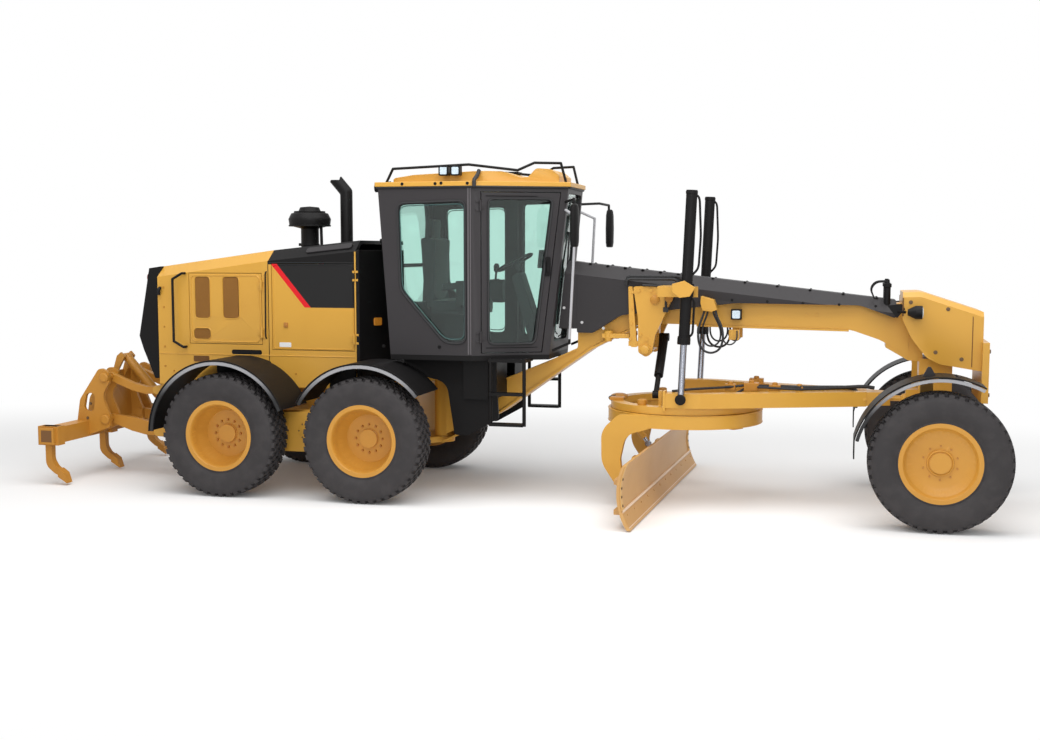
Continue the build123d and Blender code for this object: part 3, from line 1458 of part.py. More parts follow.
def drawbar():
    """The drawbar: its ball, two spread legs, and the ring plate over the circle with its shoes."""
    body = Pos(BALL_X, 0, BALL_Z) * Sphere(BALL_R) + across(BALL_X, BALL_Z, -86, 86, BALL_PIN_R)
    body += bar((BALL_X, 0, BALL_Z), (-420, 0, BALL_Z), 28)
    body += plan_prism(
        ((-400, -60), (-400, 60), (-640, 170), (-700, 170), (-700, -170), (-640, -170)), 985, 1115
    )
    leg = plan_prism(
        (
            (-620, -170),
            (-620, -40),
            (-900, -90),
            (CIRCLE_X + 195, -640),
            (CIRCLE_X - 105, -640),
            (CIRCLE_X - 105, -760),
            (CIRCLE_X + 215, -760),
        ),
        DRAWBAR_LOW,
        DRAWBAR_TOP,
        (10, 10, 100, 200, 5, 5, 250),
    )
    body += both(leg)
    body += both(block(CIRCLE_X - 118, CIRCLE_X - 96, -764, -630, DRAWBAR_LOW - 30, DRAWBAR_TOP + 20))
    yoke = Pos(CIRCLE_X, 0, 0) * (bar((0, 0, CIRCLE_TOP + 5), (0, 0, DRAWBAR_LOW), YOKE_OUT))
    yoke -= Pos(CIRCLE_X, 0, 0) * bar((0, 0, CIRCLE_TOP), (0, 0, DRAWBAR_LOW + 5), YOKE_IN)
    body += yoke
    for angle in (35, 145, 215, 325):
        shoe = block(SHOE_IN, CIRCLE_IN - 6, -70, 70, CIRCLE_LOW - 25, DRAWBAR_LOW)
        shoe += block(SHOE_IN, CIRCLE_IN + 10, -70, 70, CIRCLE_LOW - 25, CIRCLE_LOW - 0.6)
        body += Pos(CIRCLE_X, 0, 0) * (Rot(0, 0, angle) * shoe)
    body += both(across(LIFT_X_LOW, LIFT_LOW_Z, -LIFT_EYE_IN + 0.5, -750, EYE_R))
    x, y, z = SHIFT_LOW
    body += block(x + 31, x + 62, y - 40, y + 40, DRAWBAR_LOW - 60, z + 40)
    body += block(x + 31, x + 62, y - 160, y, DRAWBAR_LOW - 60, DRAWBAR_LOW)
    return body


def circle():
    """The circle with its two curved arms that reach down to the blade."""
    ring = bar((0, 0, CIRCLE_LOW), (0, 0, CIRCLE_TOP), CIRCLE_R)
    ring -= bar((0, 0, CIRCLE_LOW - 1), (0, 0, CIRCLE_TOP + 1), CIRCLE_IN)
    body = Pos(CIRCLE_X, 0, 0) * ring
    pivot_x, pivot_z = TIP_PIVOT
    x = CIRCLE_X
    arm = side_prism(
        (
            (x - 65, CIRCLE_LOW),
            (x - 200, CIRCLE_LOW),
            (x - 450, 700),
            (x - 500, 470),
            (pivot_x - 60, 300),
            (pivot_x + 60, 240),
            (pivot_x + 30, 165),
            (x - 530, 190),
            (x - 685, 420),
            (x - 690, 740),
            (x - 520, CIRCLE_TOP - 5),
            (x - 65, CIRCLE_TOP - 5),
        ),
        -ARM_Y - ARM_SKIN / 2,
        -ARM_Y + ARM_SKIN / 2,
        (5, 150, 150, 100, 30, 20, 20, 120, 250, 200, 120, 5),
    )
    arm -= across(pivot_x, pivot_z, -ARM_Y - 50, -ARM_Y + 50, RIPPER_PIN_R + PIN_GAP)
    arm -= Pos(x, 0, 0) * bar((0, 0, CIRCLE_LOW - 1), (0, 0, CIRCLE_TOP + 1), CIRCLE_IN)
    arm -= Pos(x, 0, 0) * bar((0, 0, CIRCLE_LOW - 60), (0, 0, CIRCLE_LOW - 0.5), CIRCLE_IN + 20)
    body += both(arm)
    body += block(x - 625, x - 565, -ARM_Y, ARM_Y, 640, 700)
    barrel_x, barrel_z = TIP_BARREL_PIN
    body += both(block(barrel_x - 34, barrel_x + 34, 46, 66, 690, barrel_z + 34))
    return turned(body)


def blade_carrier():
    """The tilting carrier behind the blade: two brackets that grip the blade's rails, and a cross tube."""
    pivot_x, pivot_z = TIP_PIVOT
    bracket = side_prism(
        (
            (pivot_x - 45, pivot_z - 45),
            (pivot_x - 45, pivot_z + 60),
            (pivot_x + 25, 480),
            (pivot_x + 160, 480),
            (pivot_x + 160, 90),
            (pivot_x + 40, 90),
        ),
        -CARRIER_Y - CARRIER_SKIN,
        -CARRIER_Y + CARRIER_SKIN,
    )
    for z0, z1 in RAIL_ROWS:
        bracket -= block(
            RAIL_REAR_X - BLADE_SLIDE_GAP,
            CIRCLE_X - 25,
            -CARRIER_Y - 200,
            -CARRIER_Y + 200,
            z0 - BLADE_SLIDE_GAP,
            z1 + BLADE_SLIDE_GAP,
        )
    bracket -= before_blade(-BLADE_SKIN - BLADE_SLIDE_GAP)
    bracket += across(pivot_x, pivot_z, -ARM_Y - 20, -CARRIER_Y, RIPPER_PIN_R)
    body = both(bracket)
    body += block(CROSS_BAR_X, CROSS_BAR_X + 50, -CARRIER_Y, CARRIER_Y, 250, 300)
    rod_x, rod_z = TIP_ROD_PIN
    body += block(CROSS_BAR_X, CROSS_BAR_X + 50, 20, 60, 300, rod_z)
    ram_low, ram_high = SHIFT_RAM_ENDS
    body += across(SHIFT_RAM_X, SHIFT_RAM_Z, ram_low, ram_high, 38)
    body -= across(SHIFT_RAM_X, SHIFT_RAM_Z, ram_low + 12, ram_high + 1, SHIFT_RAM_R + PIN_GAP)
    body -= across(SHIFT_RAM_X, SHIFT_RAM_Z, ram_high, CARRIER_Y + 200, SHIFT_RAM_R + 6)
    return turned(body)


def blade_arc(shift, y):
    """The blade's front curve in side view at y, moved along X by shift, from its edge to its top."""
    middle_z = (BLADE_Z + BLADE_TOP_Z) / 2 - 20
    return ThreePointArc(
        (BLADE_EDGE_X + shift, y, BLADE_Z),
        (BLADE_BULGE_X + shift, y, middle_z),
        (BLADE_TIP_X + shift, y, BLADE_TOP_Z),
    )


def before_blade(shift):
    """Everything in front of the blade's curve moved along X by shift."""
    y = -BLADE_HALF - 100
    curve = blade_arc(shift, y)
    far = CIRCLE_X + 75
    edges = (
        curve,
        Line(curve @ 1, (BLADE_TIP_X + shift, y, 700)),
        Line((BLADE_TIP_X + shift, y, 700), (far, y, 700)),
        Line((far, y, 700), (far, y, BLADE_Z)),
        Line((far, y, BLADE_Z), curve @ 0),
    )
    return extrude(make_face(Wire(edges)), amount=2 * BLADE_HALF + 200, dir=(0, 1, 0))


def moldboard():
    """The curved blade with its cutting edge, the rails on its back and its side shift rod."""
    y0 = -BLADE_HALF
    front = blade_arc(0, y0)
    back = blade_arc(-BLADE_SKIN, y0)
    face = make_face(Wire((front, Line(front @ 1, back @ 1), back, Line(back @ 0, front @ 0))))
    body = extrude(face, amount=2 * BLADE_HALF, dir=(0, 1, 0))
    edge_front = blade_arc(CUTTING_EDGE, y0)
    ends = Line(edge_front @ 1, front @ 1), Line(front @ 0, edge_front @ 0)
    edge = make_face(Wire((edge_front, ends[0], front, ends[1])))
    edge = extrude(edge, amount=2 * BLADE_HALF, dir=(0, 1, 0))
    body += edge & block(CIRCLE_X - 400, CIRCLE_X, y0, -y0, 0, CUTTING_EDGE_TOP)
    reach = BLADE_HALF - 100
    for z0, z1 in RAIL_ROWS:
        body += block(RAIL_REAR_X, BLADE_EDGE_X, -reach, reach, z0, z1) - before_blade(-BLADE_SKIN / 2)
    body += across(SHIFT_RAM_X, SHIFT_RAM_Z, SHIFT_RAM_START_Y, SHIFT_RAM_EYE_Y, SHIFT_RAM_R)
    eye_low, eye_high = SHIFT_RAM_EYE_Y - 15, SHIFT_RAM_EYE_Y + 15
    body += block(
        SHIFT_RAM_X - 22, BLADE_BULGE_X - 10, eye_low, eye_high, SHIFT_RAM_Z - 25, SHIFT_RAM_Z + 25
    )
    return turned(body)


def tip_barrel():
    """The blade tip cylinder's barrel."""
    x, z = TIP_BARREL_PIN
    end_x, end_z = TIP_ROD_PIN
    start, finish = (x, 0, z), (end_x, 0, end_z)
    body = bar(start, point_between(start, finish, TIP_BARREL_SHARE), 36) + across(x, z, -45.7, 45.7, 30)
    body -= bar(point_between(start, finish, TIP_BORE_SHARE), finish, TIP_ROD_R + PIN_GAP)
    return turned(body)


def tip_rod():
    """The blade tip cylinder's rod."""
    x, z = TIP_BARREL_PIN
    end_x, end_z = TIP_ROD_PIN
    start, finish = (x, 0, z), (end_x, 0, end_z)
    body = bar(point_between(start, finish, TIP_ROD_SHARE), finish, TIP_ROD_R)
    body += across(end_x, end_z, -25, 19, 30)
    return turned(body)


# Writing the pieces

PIECES = {
    "rear_frame": rear_frame,
    "engine_block": engine_block,
    "hood_shell": hood_shell,
    "hood_cap": hood_cap,
    "rear_grille": rear_grille,
    "stacks": stacks,
    "rear_fenders": rear_fenders,
    "ripper_carriage": ripper_carriage,
    "ripper_barrel": ripper_barrel,
    "ripper_rod": ripper_rod,
    "front_frame": front_frame,
    "frame_cover": frame_cover,
    "saddle": saddle,
    "front_axle": front_axle,
    "cab_base": cab_base,
    "cab_frame": cab_frame,
    "cab_windows": cab_windows,
    "cab_roof": cab_roof,
    "cab_fittings": cab_fittings,
    "cab_interior": cab_interior,
    "drawbar": drawbar,
    "circle": circle,
    "blade_carrier": blade_carrier,
    "moldboard": moldboard,
    "tip_barrel": tip_barrel,
    "tip_rod": tip_rod,
    "shift_barrel": shift_barrel,
    "shift_rod": shift_rod,
}

# Pieces that come as a right one and a left one
SIDE_PIECES = {
    "lean_yoke": lean_yoke,
    "steering_knuckle": steering_knuckle,
    "front_fender": front_fender,
    "cab_door": cab_door,
    "cab_door_glass": cab_door_glass,
    "lift_barrel": lift_barrel,
    "lift_rod": lift_rod,
}

SIDES = (("right", -1), ("left", 1))

# Each wheel: its name, its station, and how its rim is dished
WHEELS = (
    ("front", 0, FRONT_DISC_Y, 215),
    ("middle", FRONT_TANDEM_X, REAR_DISC_Y, 235),
    ("rear", REAR_TANDEM_X, REAR_DISC_Y, 235),
)


def write(name, shape):
    """Move a piece to the machine's own frame and write it."""
    export_step(Pos(ORIGIN_SHIFT, 0, 0) * shape, "parts/" + name + ".step")


def main():
    os.makedirs("parts", exist_ok=True)
    for name, make in PIECES.items():
        write(name, make())
    write("ripper_upper_links", ripper_links(RIPPER_UPPER_Z, RIPPER_UPPER_DEPTH, RIPPER_UPPER_SAG))
    write("ripper_lower_links", ripper_links(RIPPER_LOWER_Z, RIPPER_LOWER_DEPTH, 0))
    plain_tyre = tyre()
    rims = {row[0]: rim(row[2], row[3]) for row in WHEELS}
    for side_name, side in SIDES:
        for name, make in SIDE_PIECES.items():
            write(name + "_" + side_name, make(side))
        write("vent_door_" + side_name, side_door(side, VENT_DOOR, VENTS))
        write("service_door_" + side_name, side_door(side, SERVICE_DOOR))
        for wheel_name, x, _, _ in WHEELS:
            place = Pos(x, side * HALF_TRACK, AXLE_Z)
            write("tyre_" + wheel_name + "_" + side_name, place * plain_tyre)
            write("rim_" + wheel_name + "_" + side_name, place * on_side(side, rims[wheel_name]))


main()
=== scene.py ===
# %% [markdown]
# A motor grader. The construction is loaded first, as a fixed frame of rigid bodies. Everything made
# below is a skin or a detail that rides on one of those bodies, at the place that the frame gives.
# Stations along X are counted from the front axle, forward positive, and shifted once, when a piece
# is finished.

import json
import math

import bmesh
import bpy
from mathutils import Matrix, Vector

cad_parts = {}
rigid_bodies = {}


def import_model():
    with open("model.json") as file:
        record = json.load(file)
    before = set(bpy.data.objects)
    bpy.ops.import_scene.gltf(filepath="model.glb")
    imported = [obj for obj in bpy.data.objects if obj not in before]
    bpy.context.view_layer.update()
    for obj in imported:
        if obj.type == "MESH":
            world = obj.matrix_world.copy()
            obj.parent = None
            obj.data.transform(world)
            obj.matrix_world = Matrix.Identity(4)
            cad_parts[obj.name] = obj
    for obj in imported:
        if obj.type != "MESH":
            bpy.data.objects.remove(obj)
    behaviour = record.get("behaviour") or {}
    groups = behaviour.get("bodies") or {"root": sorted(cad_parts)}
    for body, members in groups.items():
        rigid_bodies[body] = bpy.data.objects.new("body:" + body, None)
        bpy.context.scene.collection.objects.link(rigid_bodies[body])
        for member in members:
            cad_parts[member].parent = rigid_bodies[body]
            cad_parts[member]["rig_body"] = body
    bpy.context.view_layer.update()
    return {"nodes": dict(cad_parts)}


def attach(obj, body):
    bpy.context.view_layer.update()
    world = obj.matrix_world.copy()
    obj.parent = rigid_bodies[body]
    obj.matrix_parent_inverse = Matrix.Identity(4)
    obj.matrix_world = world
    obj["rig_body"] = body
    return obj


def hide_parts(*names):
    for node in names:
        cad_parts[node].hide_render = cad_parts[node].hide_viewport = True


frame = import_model()
STATION_SHIFT = 4.23
SIDES = (("right", -1), ("left", 1))
WHEEL_STATIONS = {"front": 0.0, "middle": -5.3615, "rear": -6.8845}
HALF_TRACK = 1.07
AXLE_Z = 0.62
TAU = 2 * math.pi


def show(thing):
    bpy.context.scene.collection.objects.link(thing)


def swing(degrees):
    """The cosine and sine of a turn in degrees."""
    turn = math.radians(degrees)
    return math.cos(turn), math.sin(turn)


# %% [markdown]
# A finish is a set of shader nodes. Long chains of Math nodes are hard to read when each one is made
# and linked by hand, so a socket is wrapped in a small class whose operators add the nodes. An
# expression such as 0.4 + 0.1 * noise then reads as it would on paper.

# %% Shader sums


class Value:
    """A shader socket that can stand in a Python sum."""

    def __init__(self, finish, socket):
        self.finish, self.socket = finish, socket

    def math(self, operation, *others):
        return self.finish.node(
            "ShaderNodeMath", {"operation": operation}, dict(enumerate((self, *others)))
        )

    def __add__(self, other):
        return self.math("ADD", other)

    def __mul__(self, other):
        return self.math("MULTIPLY", other)

    def __sub__(self, other):
        return self.math("SUBTRACT", other)

    def __rsub__(self, other):
        return self.finish.node("ShaderNodeMath", {"operation": "SUBTRACT"}, {0: other, 1: self})

    def __truediv__(self, other):
        return self.math("DIVIDE", other)

    def __gt__(self, other):
        return self.math("GREATER_THAN", other)

    def __lt__(self, other):
        return self.math("LESS_THAN", other)

    __radd__ = __add__
    __rmul__ = __mul__

    def ramp(self, low, high):
        """0 below low, 1 above high, and smooth between them."""
        settings = {"interpolation_type": "SMOOTHSTEP", "clamp": True}
        return self.finish.node(
            "ShaderNodeMapRange", settings, {"Value": self, "From Min": low, "From Max": high}
        )


class Finish:
    """A material with one Principled shader, and the ways to feed its sockets."""

    def __init__(self, name, slot, **constants):
        self.slot = slot
        self.material = bpy.data.materials.new(name)
        self.material.use_nodes = True
        self.tree = self.material.node_tree
        self.tree.nodes.clear()
        self.shader = self.tree.nodes.new("ShaderNodeBsdfPrincipled")
        output = self.tree.nodes.new("ShaderNodeOutputMaterial")
        self.tree.links.new(self.shader.outputs[0], output.inputs[0])
        for key, value in constants.items():
            self.feed(key.replace("_", " "), value)

    def node(self, kind, settings, inputs, out=0):
        made = self.tree.nodes.new(kind)
        for key, value in settings.items():
            setattr(made, key, value)
        for key, value in inputs.items():
            self.put(made.inputs[key], value)
        return Value(self, made.outputs[out])

    def put(self, socket, value):
        if isinstance(value, Value):
            self.tree.links.new(value.socket, socket)
        elif hasattr(value, "__len__") and len(value) == 3 and len(socket.default_value) == 4:
            socket.default_value = (*value, 1)
        else:
            socket.default_value = value

    def feed(self, name, value):
        self.put(self.shader.inputs[name], value)

    def place(self):
        """Where a point lies on the machine, as three numbers."""
        where = self.node("ShaderNodeTexCoord", {}, {}, "Object")
        split = self.tree.nodes.new("ShaderNodeSeparateXYZ")
        self.tree.links.new(where.socket, split.inputs[0])
        return [Value(self, out) for out in split.outputs]

    def noise(self, scale, detail=3.0, rough=0.55):
        where = self.node("ShaderNodeTexCoord", {}, {}, "Object")
        inputs = {"Vector": where, "Scale": scale, "Detail": detail, "Roughness": rough}
        return self.node("ShaderNodeTexNoise", {}, inputs, "Fac")

    def mix(self, share, low, high):
        made = self.tree.nodes.new("ShaderNodeMix")
        made.data_type = "RGBA"
        for index, value in ((0, share), (6, low), (7, high)):
            self.put(made.inputs[index], value)
        return Value(self, made.outputs[2])

    def bump(self, height, strength, distance):
        self.feed(
            "Normal",
            self.node(
                "ShaderNodeBump", {}, {"Strength": strength, "Distance": distance, "Height": height}
            )
        )


# %% [markdown]
# Paint on a machine is never one flat colour: the tone drifts a little from panel to panel, the gloss
# changes where hands and dust have been, and a fine orange peel breaks up the reflections. Low down the
# tone is also deepened, which is painted shade. All of it reads the place on the machine, so that it
# stays put from every side.

# %% Paints
YELLOW = (0.64, 0.34, 0.05)
YELLOW_DEEP = (0.5, 0.225, 0.026)
BLACK = (0.0075, 0.007, 0.0072)
CAB_GREY = (0.03, 0.027, 0.029)
CAB_GREY_LIGHT = (0.042, 0.038, 0.041)


def paint(name, slot, light, deep, rough, coat, peel=0.04, shine=0.35):
    """A sprayed paint that drifts between two tones, deepened low down by painted shade and duller there.
    """
    made = Finish(name, slot, Coat_Roughness=0.18, Specular_IOR_Level=shine)
    x, y, z = made.place()
    drift = made.noise(1.7, 4.0)
    fine = made.noise(38.0, 2.0)
    low = 1 - z.ramp(0.15, 1.25)
    # low pulls the colour to the deep tone, which is painted shade low down. On roughness and coat it
    # makes the paint duller there.
    share = (drift - 0.42) * 0.9 + low * 0.22
    made.feed("Base Color", made.mix(share.ramp(0.0, 1.0), light, deep))
    made.feed("Roughness", rough + 0.1 * drift + 0.05 * fine + 0.1 * low)
    made.feed("Coat Weight", coat * (1 - 0.6 * low))
    made.bump(made.noise(420.0, 1.0), peel, 0.0006)
    return made


yellow = paint("yellow paint", "yellow_paint", YELLOW, YELLOW_DEEP, 0.32, 0.18)
yellow_deep = paint("deep yellow paint", "yellow_paint", YELLOW_DEEP, (0.36, 0.13, 0.014), 0.38, 0.1)
# The rims' deeper yellow, which the hub caps share, is painted shade in the dished wheel faces.
rim_shade_yellow = paint("rim paint", "yellow_paint", (0.57, 0.275, 0.04), (0.45, 0.19, 0.024), 0.3, 0.22)
# A deeper copy of the yellow for the ripper, which is painted shade.
ripper_shade_yellow = paint(
    "ripper yellow with painted shade", "yellow_paint", (0.52, 0.235, 0.03), (0.38, 0.145, 0.016), 0.4, 0.08
)
blade_paint = paint(
    "pale blade paint", "blade_paint", (0.6, 0.345, 0.125), (0.47, 0.235, 0.066), 0.32, 0.2, 0.1
)
black = paint("black paint", "black_paint", BLACK, (0.011, 0.01, 0.01), 0.45, 0.05, 0.04, 0.12)
grey = paint("cab grey", "dark_grey_paint", CAB_GREY, CAB_GREY_LIGHT, 0.4, 0.06, 0.06, 0.25)
grey_light = paint(
    "cab post grey", "dark_grey_paint", (0.1, 0.092, 0.097), (0.13, 0.12, 0.125), 0.36, 0.1, 0.06, 0.25
)
cover_grey = paint(
    "cover grey", "dark_grey_paint", (0.024, 0.0215, 0.023), (0.031, 0.028, 0.03), 0.46, 0.05, 0.05, 0.28
)
blade_edge = paint(
    "blade end paint", "blade_paint", (0.7, 0.43, 0.15), (0.56, 0.31, 0.09), 0.3, 0.25, 0.08
)


# A deeper tone for the cutting edge's face, which is painted shade below its top bead.
edge_shade_paint = paint(
    "cutting edge with painted shade", "blade_paint", (0.56, 0.3, 0.085), (0.45, 0.22, 0.05), 0.34, 0.15, 0.08
)
# Pale beads along the cutting edge, which are painted highlights.
bead_highlight_paint = paint("painted highlight beads", "blade_paint", (0.78, 0.6, 0.44), (0.7, 0.5, 0.34), 0.26, 0.3, 0.04)


def lip_highlight_finish():
    """A rolled black edge, with a painted highlight in satin grey over the top of its arc."""
    made = Finish("rolled lip", "black_paint", Coat_Roughness=0.25, Specular_IOR_Level=0.4)
    x, y, z = made.place()
    # high marks where the painted highlight lies, over the top of the arc.
    high = z.ramp(0.98, 1.3)
    made.feed(
        "Base Color",
        made.mix(high * (0.85 + 0.3 * made.noise(14.0)), (0.012, 0.012, 0.013), (0.33, 0.33, 0.345))
    )
    made.feed("Roughness", 0.34 + 0.08 * made.noise(30.0))
    made.bump(made.noise(300.0, 1.0), 0.04, 0.0006)
    return made


lip_highlight = lip_highlight_finish()

# %% [markdown]
# Rubber is matt and a shade lighter than black, with dust held in its grain. Glass lets the cab show
# through with a green tint, rods are hard chrome, the vents have a wire mesh, and the seat has a
# woven cover.

# %% Rubber, glass, chrome and the rest


def rubber_finish():
    made = Finish("tyre rubber", "tyre", Specular_IOR_Level=0.35)
    dust = made.noise(9.0, 5.0)
    x, y, z = made.place()
    low = 1 - z.ramp(0.0, 0.5)
    share = (dust.ramp(0.35, 0.75) * 0.5) + low * 0.15
    made.feed("Base Color", made.mix(share, (0.029, 0.026, 0.027), (0.055, 0.049, 0.05)))
    made.feed("Roughness", 0.58 + 0.2 * dust)
    made.bump(made.noise(160.0, 3.0), 0.2, 0.002)
    return made


def glass_finish():
    made = Finish("cab glass", "glass", Base_Color=(0.66, 0.86, 0.8), IOR=1.45, Transmission_Weight=1.0)
    made.feed("Roughness", 0.01 + 0.03 * made.noise(2.2, 2.0))
    return made


def chrome_finish():
    made = Finish("polished rod", "rod_steel", Base_Color=(0.31, 0.32, 0.36), Metallic=1.0)
    made.feed("Roughness", 0.14 + 0.08 * made.noise(60.0, 2.0))
    return made


def steel_finish(name, dark, light):
    made = Finish(name, "rod_steel", Metallic=0.9)
    grain = made.noise(25.0, 5.0)
    made.feed("Base Color", made.mix(grain, dark, light))
    made.feed("Roughness", 0.3 + 0.25 * grain)
    return made


def plastic_finish(name, slot, colour, rough):
    made = Finish(name, slot)
    grain = made.noise(90.0, 3.0)
    made.feed("Base Color", made.mix(grain, colour, tuple(c * 1.5 for c in colour)))
    made.feed("Roughness", rough + 0.1 * grain)
    made.bump(grain, 0.1, 0.001)
    return made


def lens_finish(name, slot, colour, glow):
    made = Finish(name, slot, Roughness=0.08, Coat_Weight=0.6)
    facets = made.node(
        "ShaderNodeTexVoronoi", {},
        {"Scale": 90.0, "Vector": made.node("ShaderNodeTexCoord", {}, {}, "Object")}
    )
    made.feed("Base Color", made.mix(facets.ramp(0.0, 0.9), colour, tuple(c * 0.7 for c in colour)))
    made.feed("Emission Color", (*colour, 1))
    made.feed("Emission Strength", glow)
    return made


def cloth_finish():
    """A woven seat cover: two crossed rows of threads, from waves along two directions."""
    made = Finish("seat cloth", "seat_plastic", Sheen_Weight=0.3)
    x, y, z = made.place()
    threads = (x * 900.0 + z * 900.0).math("SINE") * (y * 900.0).math("SINE")
    weave = threads.ramp(-0.8, 0.8)
    made.feed("Base Color", made.mix(weave, (0.012, 0.012, 0.013), (0.04, 0.04, 0.043)))
    made.feed("Roughness", 0.75 + 0.15 * weave)
    made.bump(weave, 0.25, 0.0008)
    return made


rubber = rubber_finish()
glass = glass_finish()
chrome = chrome_finish()
upholstery = cloth_finish()
steel = steel_finish("bolt steel", (0.42, 0.42, 0.42), (0.62, 0.62, 0.62))
hose_rubber = plastic_finish("hose rubber", "black_paint", (0.009, 0.009, 0.01), 0.55)
seat_plastic = plastic_finish("seat plastic", "seat_plastic", (0.018, 0.018, 0.02), 0.6)
engine_grey = plastic_finish("cast grey", "cast_iron", (0.09, 0.09, 0.09), 0.55)
mesh_brown = plastic_finish("vent mesh", "yellow_paint", (0.3, 0.135, 0.024), 0.5)
mesh_dark = plastic_finish("vent shade", "yellow_paint", (0.14, 0.058, 0.01), 0.6)
nut_brown = plastic_finish("wheel nut paint", "yellow_paint", (0.34, 0.14, 0.022), 0.45)
dark_bolt = plastic_finish("dark bolt", "cast_iron", (0.1, 0.055, 0.022), 0.45)
seam_and_shade_brown = plastic_finish("panel shade", "yellow_paint", (0.13, 0.055, 0.012), 0.55)
pane_rim = plastic_finish("pane rim", "glass", (0.045, 0.1, 0.095), 0.25)
label_white = plastic_finish("blank label", "glass", (0.62, 0.62, 0.62), 0.4)
lens_white = lens_finish("lamp lens", "glass", (0.6, 0.72, 0.8), 0.2)
lens_amber = lens_finish("amber lens", "glass", (0.8, 0.3, 0.03), 0.1)
lens_red = lens_finish("red lens", "glass", (0.5, 0.02, 0.01), 0.05)

# %% [markdown]
# The service doors carry a black field with a red stripe along its slanted edge. It could be a decal
# mesh, but a straight colour boundary is simpler as arithmetic on the place: which side of a line a
# point lies on.

# %% Service door finish
STRIPE_TOP = (-6.52 + STATION_SHIFT, 2.27)
STRIPE_LOW = (-6.2 + STATION_SHIFT, 1.885)
STRIPE_WIDTH = 0.052


def door_finish():
    made = Finish(
        "service door paint", "yellow_paint", Coat_Roughness=0.18, Coat_Weight=0.1,
        Specular_IOR_Level=0.25
    )
    x, y, z = made.place()
    run, fall = STRIPE_LOW[0] - STRIPE_TOP[0], STRIPE_TOP[1] - STRIPE_LOW[1]
    length = math.hypot(run, fall)
    past = ((x - STRIPE_TOP[0]) * fall + (z - STRIPE_TOP[1]) * run) / length
    above = z > STRIPE_LOW[1]
    field = (past > 0) * above
    stripe = (past < STRIPE_WIDTH) * field
    drift = made.noise(1.7, 4.0)
    plain = made.mix((drift - 0.42).ramp(0.0, 1.0), YELLOW, YELLOW_DEEP)
    dark = made.mix(field, plain, BLACK)
    made.feed("Base Color", made.mix(stripe, dark, (0.68, 0.01, 0.016)))
    made.feed("Roughness", 0.3 + 0.1 * drift)
    made.bump(made.noise(420.0, 1.0), 0.04, 0.0006)
    return made


service_paint = door_finish()

# %% [markdown]
# Two more nodes carry two colours each, and again the place decides. The hood is black above the
# service doors, and the cab's grab rails are satin silver while the frame that they stand on is black.

# %% Hood paint and cab fittings paint
BLACK_STRIP_X = -6.6 + STATION_SHIFT
BLACK_STRIP_Z = 2.324


def hood_finish():
    made = Finish("hood paint", "yellow_paint", Coat_Roughness=0.18, Specular_IOR_Level=0.28)
    x, y, z = made.place()
    drift = made.noise(1.7, 4.0)
    low = 1 - z.ramp(0.15, 1.25)
    # Low down the yellow is pulled to the deep tone, which is painted shade.
    plain = made.mix(((drift - 0.42) * 0.9 + low * 0.22).ramp(0.0, 1.0), YELLOW, YELLOW_DEEP)
    made.feed("Base Color", made.mix((x > BLACK_STRIP_X) * (z > BLACK_STRIP_Z), plain, BLACK))
    made.feed("Roughness", 0.34 + 0.1 * drift)
    made.feed("Coat Weight", 0.18 * (1 - 0.6 * low))
    made.bump(made.noise(420.0, 1.0), 0.04, 0.0006)
    return made


def fittings_finish():
    made = Finish("cab fittings paint", "black_paint", Coat_Roughness=0.18, Specular_IOR_Level=0.15)
    x, y, z = made.place()
    out = y.math("ABSOLUTE")
    ahead = (x > -3.7 + STATION_SHIFT) * (x < -3.0 + STATION_SHIFT)
    rail = (out > 0.29) * (out < 0.52) * ahead * (z > 1.6) * (z < 2.9)
    made.feed("Base Color", made.mix(rail, BLACK, (0.46, 0.46, 0.48)))
    made.feed("Roughness", 0.36 + 0.1 * made.noise(38.0, 2.0))
    made.bump(made.noise(420.0, 1.0), 0.04, 0.0006)
    return made


hood_paint = hood_finish()
fittings_paint = fittings_finish()

# %% [markdown]
# The camera stands where the photographer stood, worked out from the wheels and the roof.

# %% Camera
CAMERA_PLACE = (3.428, -12.8, 2.467)
CAMERA_YAW = 14.38
CAMERA_PITCH = 5.32
LENS = 44.43


def camera():
    data = bpy.data.cameras.new("camera")
    data.lens, data.sensor_width = LENS, 36.0
    thing = bpy.data.objects.new("camera", data)
    thing.location = CAMERA_PLACE
    thing.rotation_euler = (math.radians(90 - CAMERA_PITCH), 0, math.radians(CAMERA_YAW))
    show(thing)
    bpy.context.scene.camera = thing


camera()

# %% [markdown]
# Three rubber hoses hang in loops from a block beside each lift cylinder, and carry oil to it as it
# swings. A hose has a fixed length and falls under its own weight, so each is one smooth curve: out of
# the block, down, round the bottom of its loop and up into the block again.

# %% Hanging hoses
HOSES = (
    ("long", 0.022, 0.986, (
        (-2.15, -0.362, 1.9), (-2.162, -0.372, 1.85), (-2.202, -0.39, 1.74), (-2.212, -0.394, 1.62),
        (-2.178, -0.394, 1.515), (-2.085, -0.394, 1.475), (-1.997, -0.394, 1.515),
        (-1.965, -0.394, 1.62), (-1.98, -0.39, 1.74), (-2.042, -0.372, 1.85), (-2.055, -0.362, 1.9),
    )),
    ("middle", 0.018, 0.81, (
        (-2.12, -0.352, 1.895), (-2.126, -0.356, 1.85), (-2.16, -0.362, 1.77), (-2.176, -0.364, 1.69),
        (-2.166, -0.364, 1.6), (-2.118, -0.364, 1.548), (-2.05, -0.364, 1.548), (-2.0, -0.364, 1.6),
        (-1.992, -0.364, 1.69), (-2.02, -0.362, 1.77), (-2.066, -0.356, 1.85), (-2.075, -0.352, 1.89),
    )),
    ("short", 0.014, 0.55, (
        (-2.045, -0.33, 1.89), (-2.036, -0.33, 1.84), (-2.0, -0.325, 1.74), (-1.986, -0.318, 1.66),
        (-1.975, -0.308, 1.6), (-1.94, -0.3, 1.56), (-1.89, -0.29, 1.56), (-1.852, -0.275, 1.6),
        (-1.846, -0.25, 1.66), (-1.852, -0.235, 1.69),
    )),
)


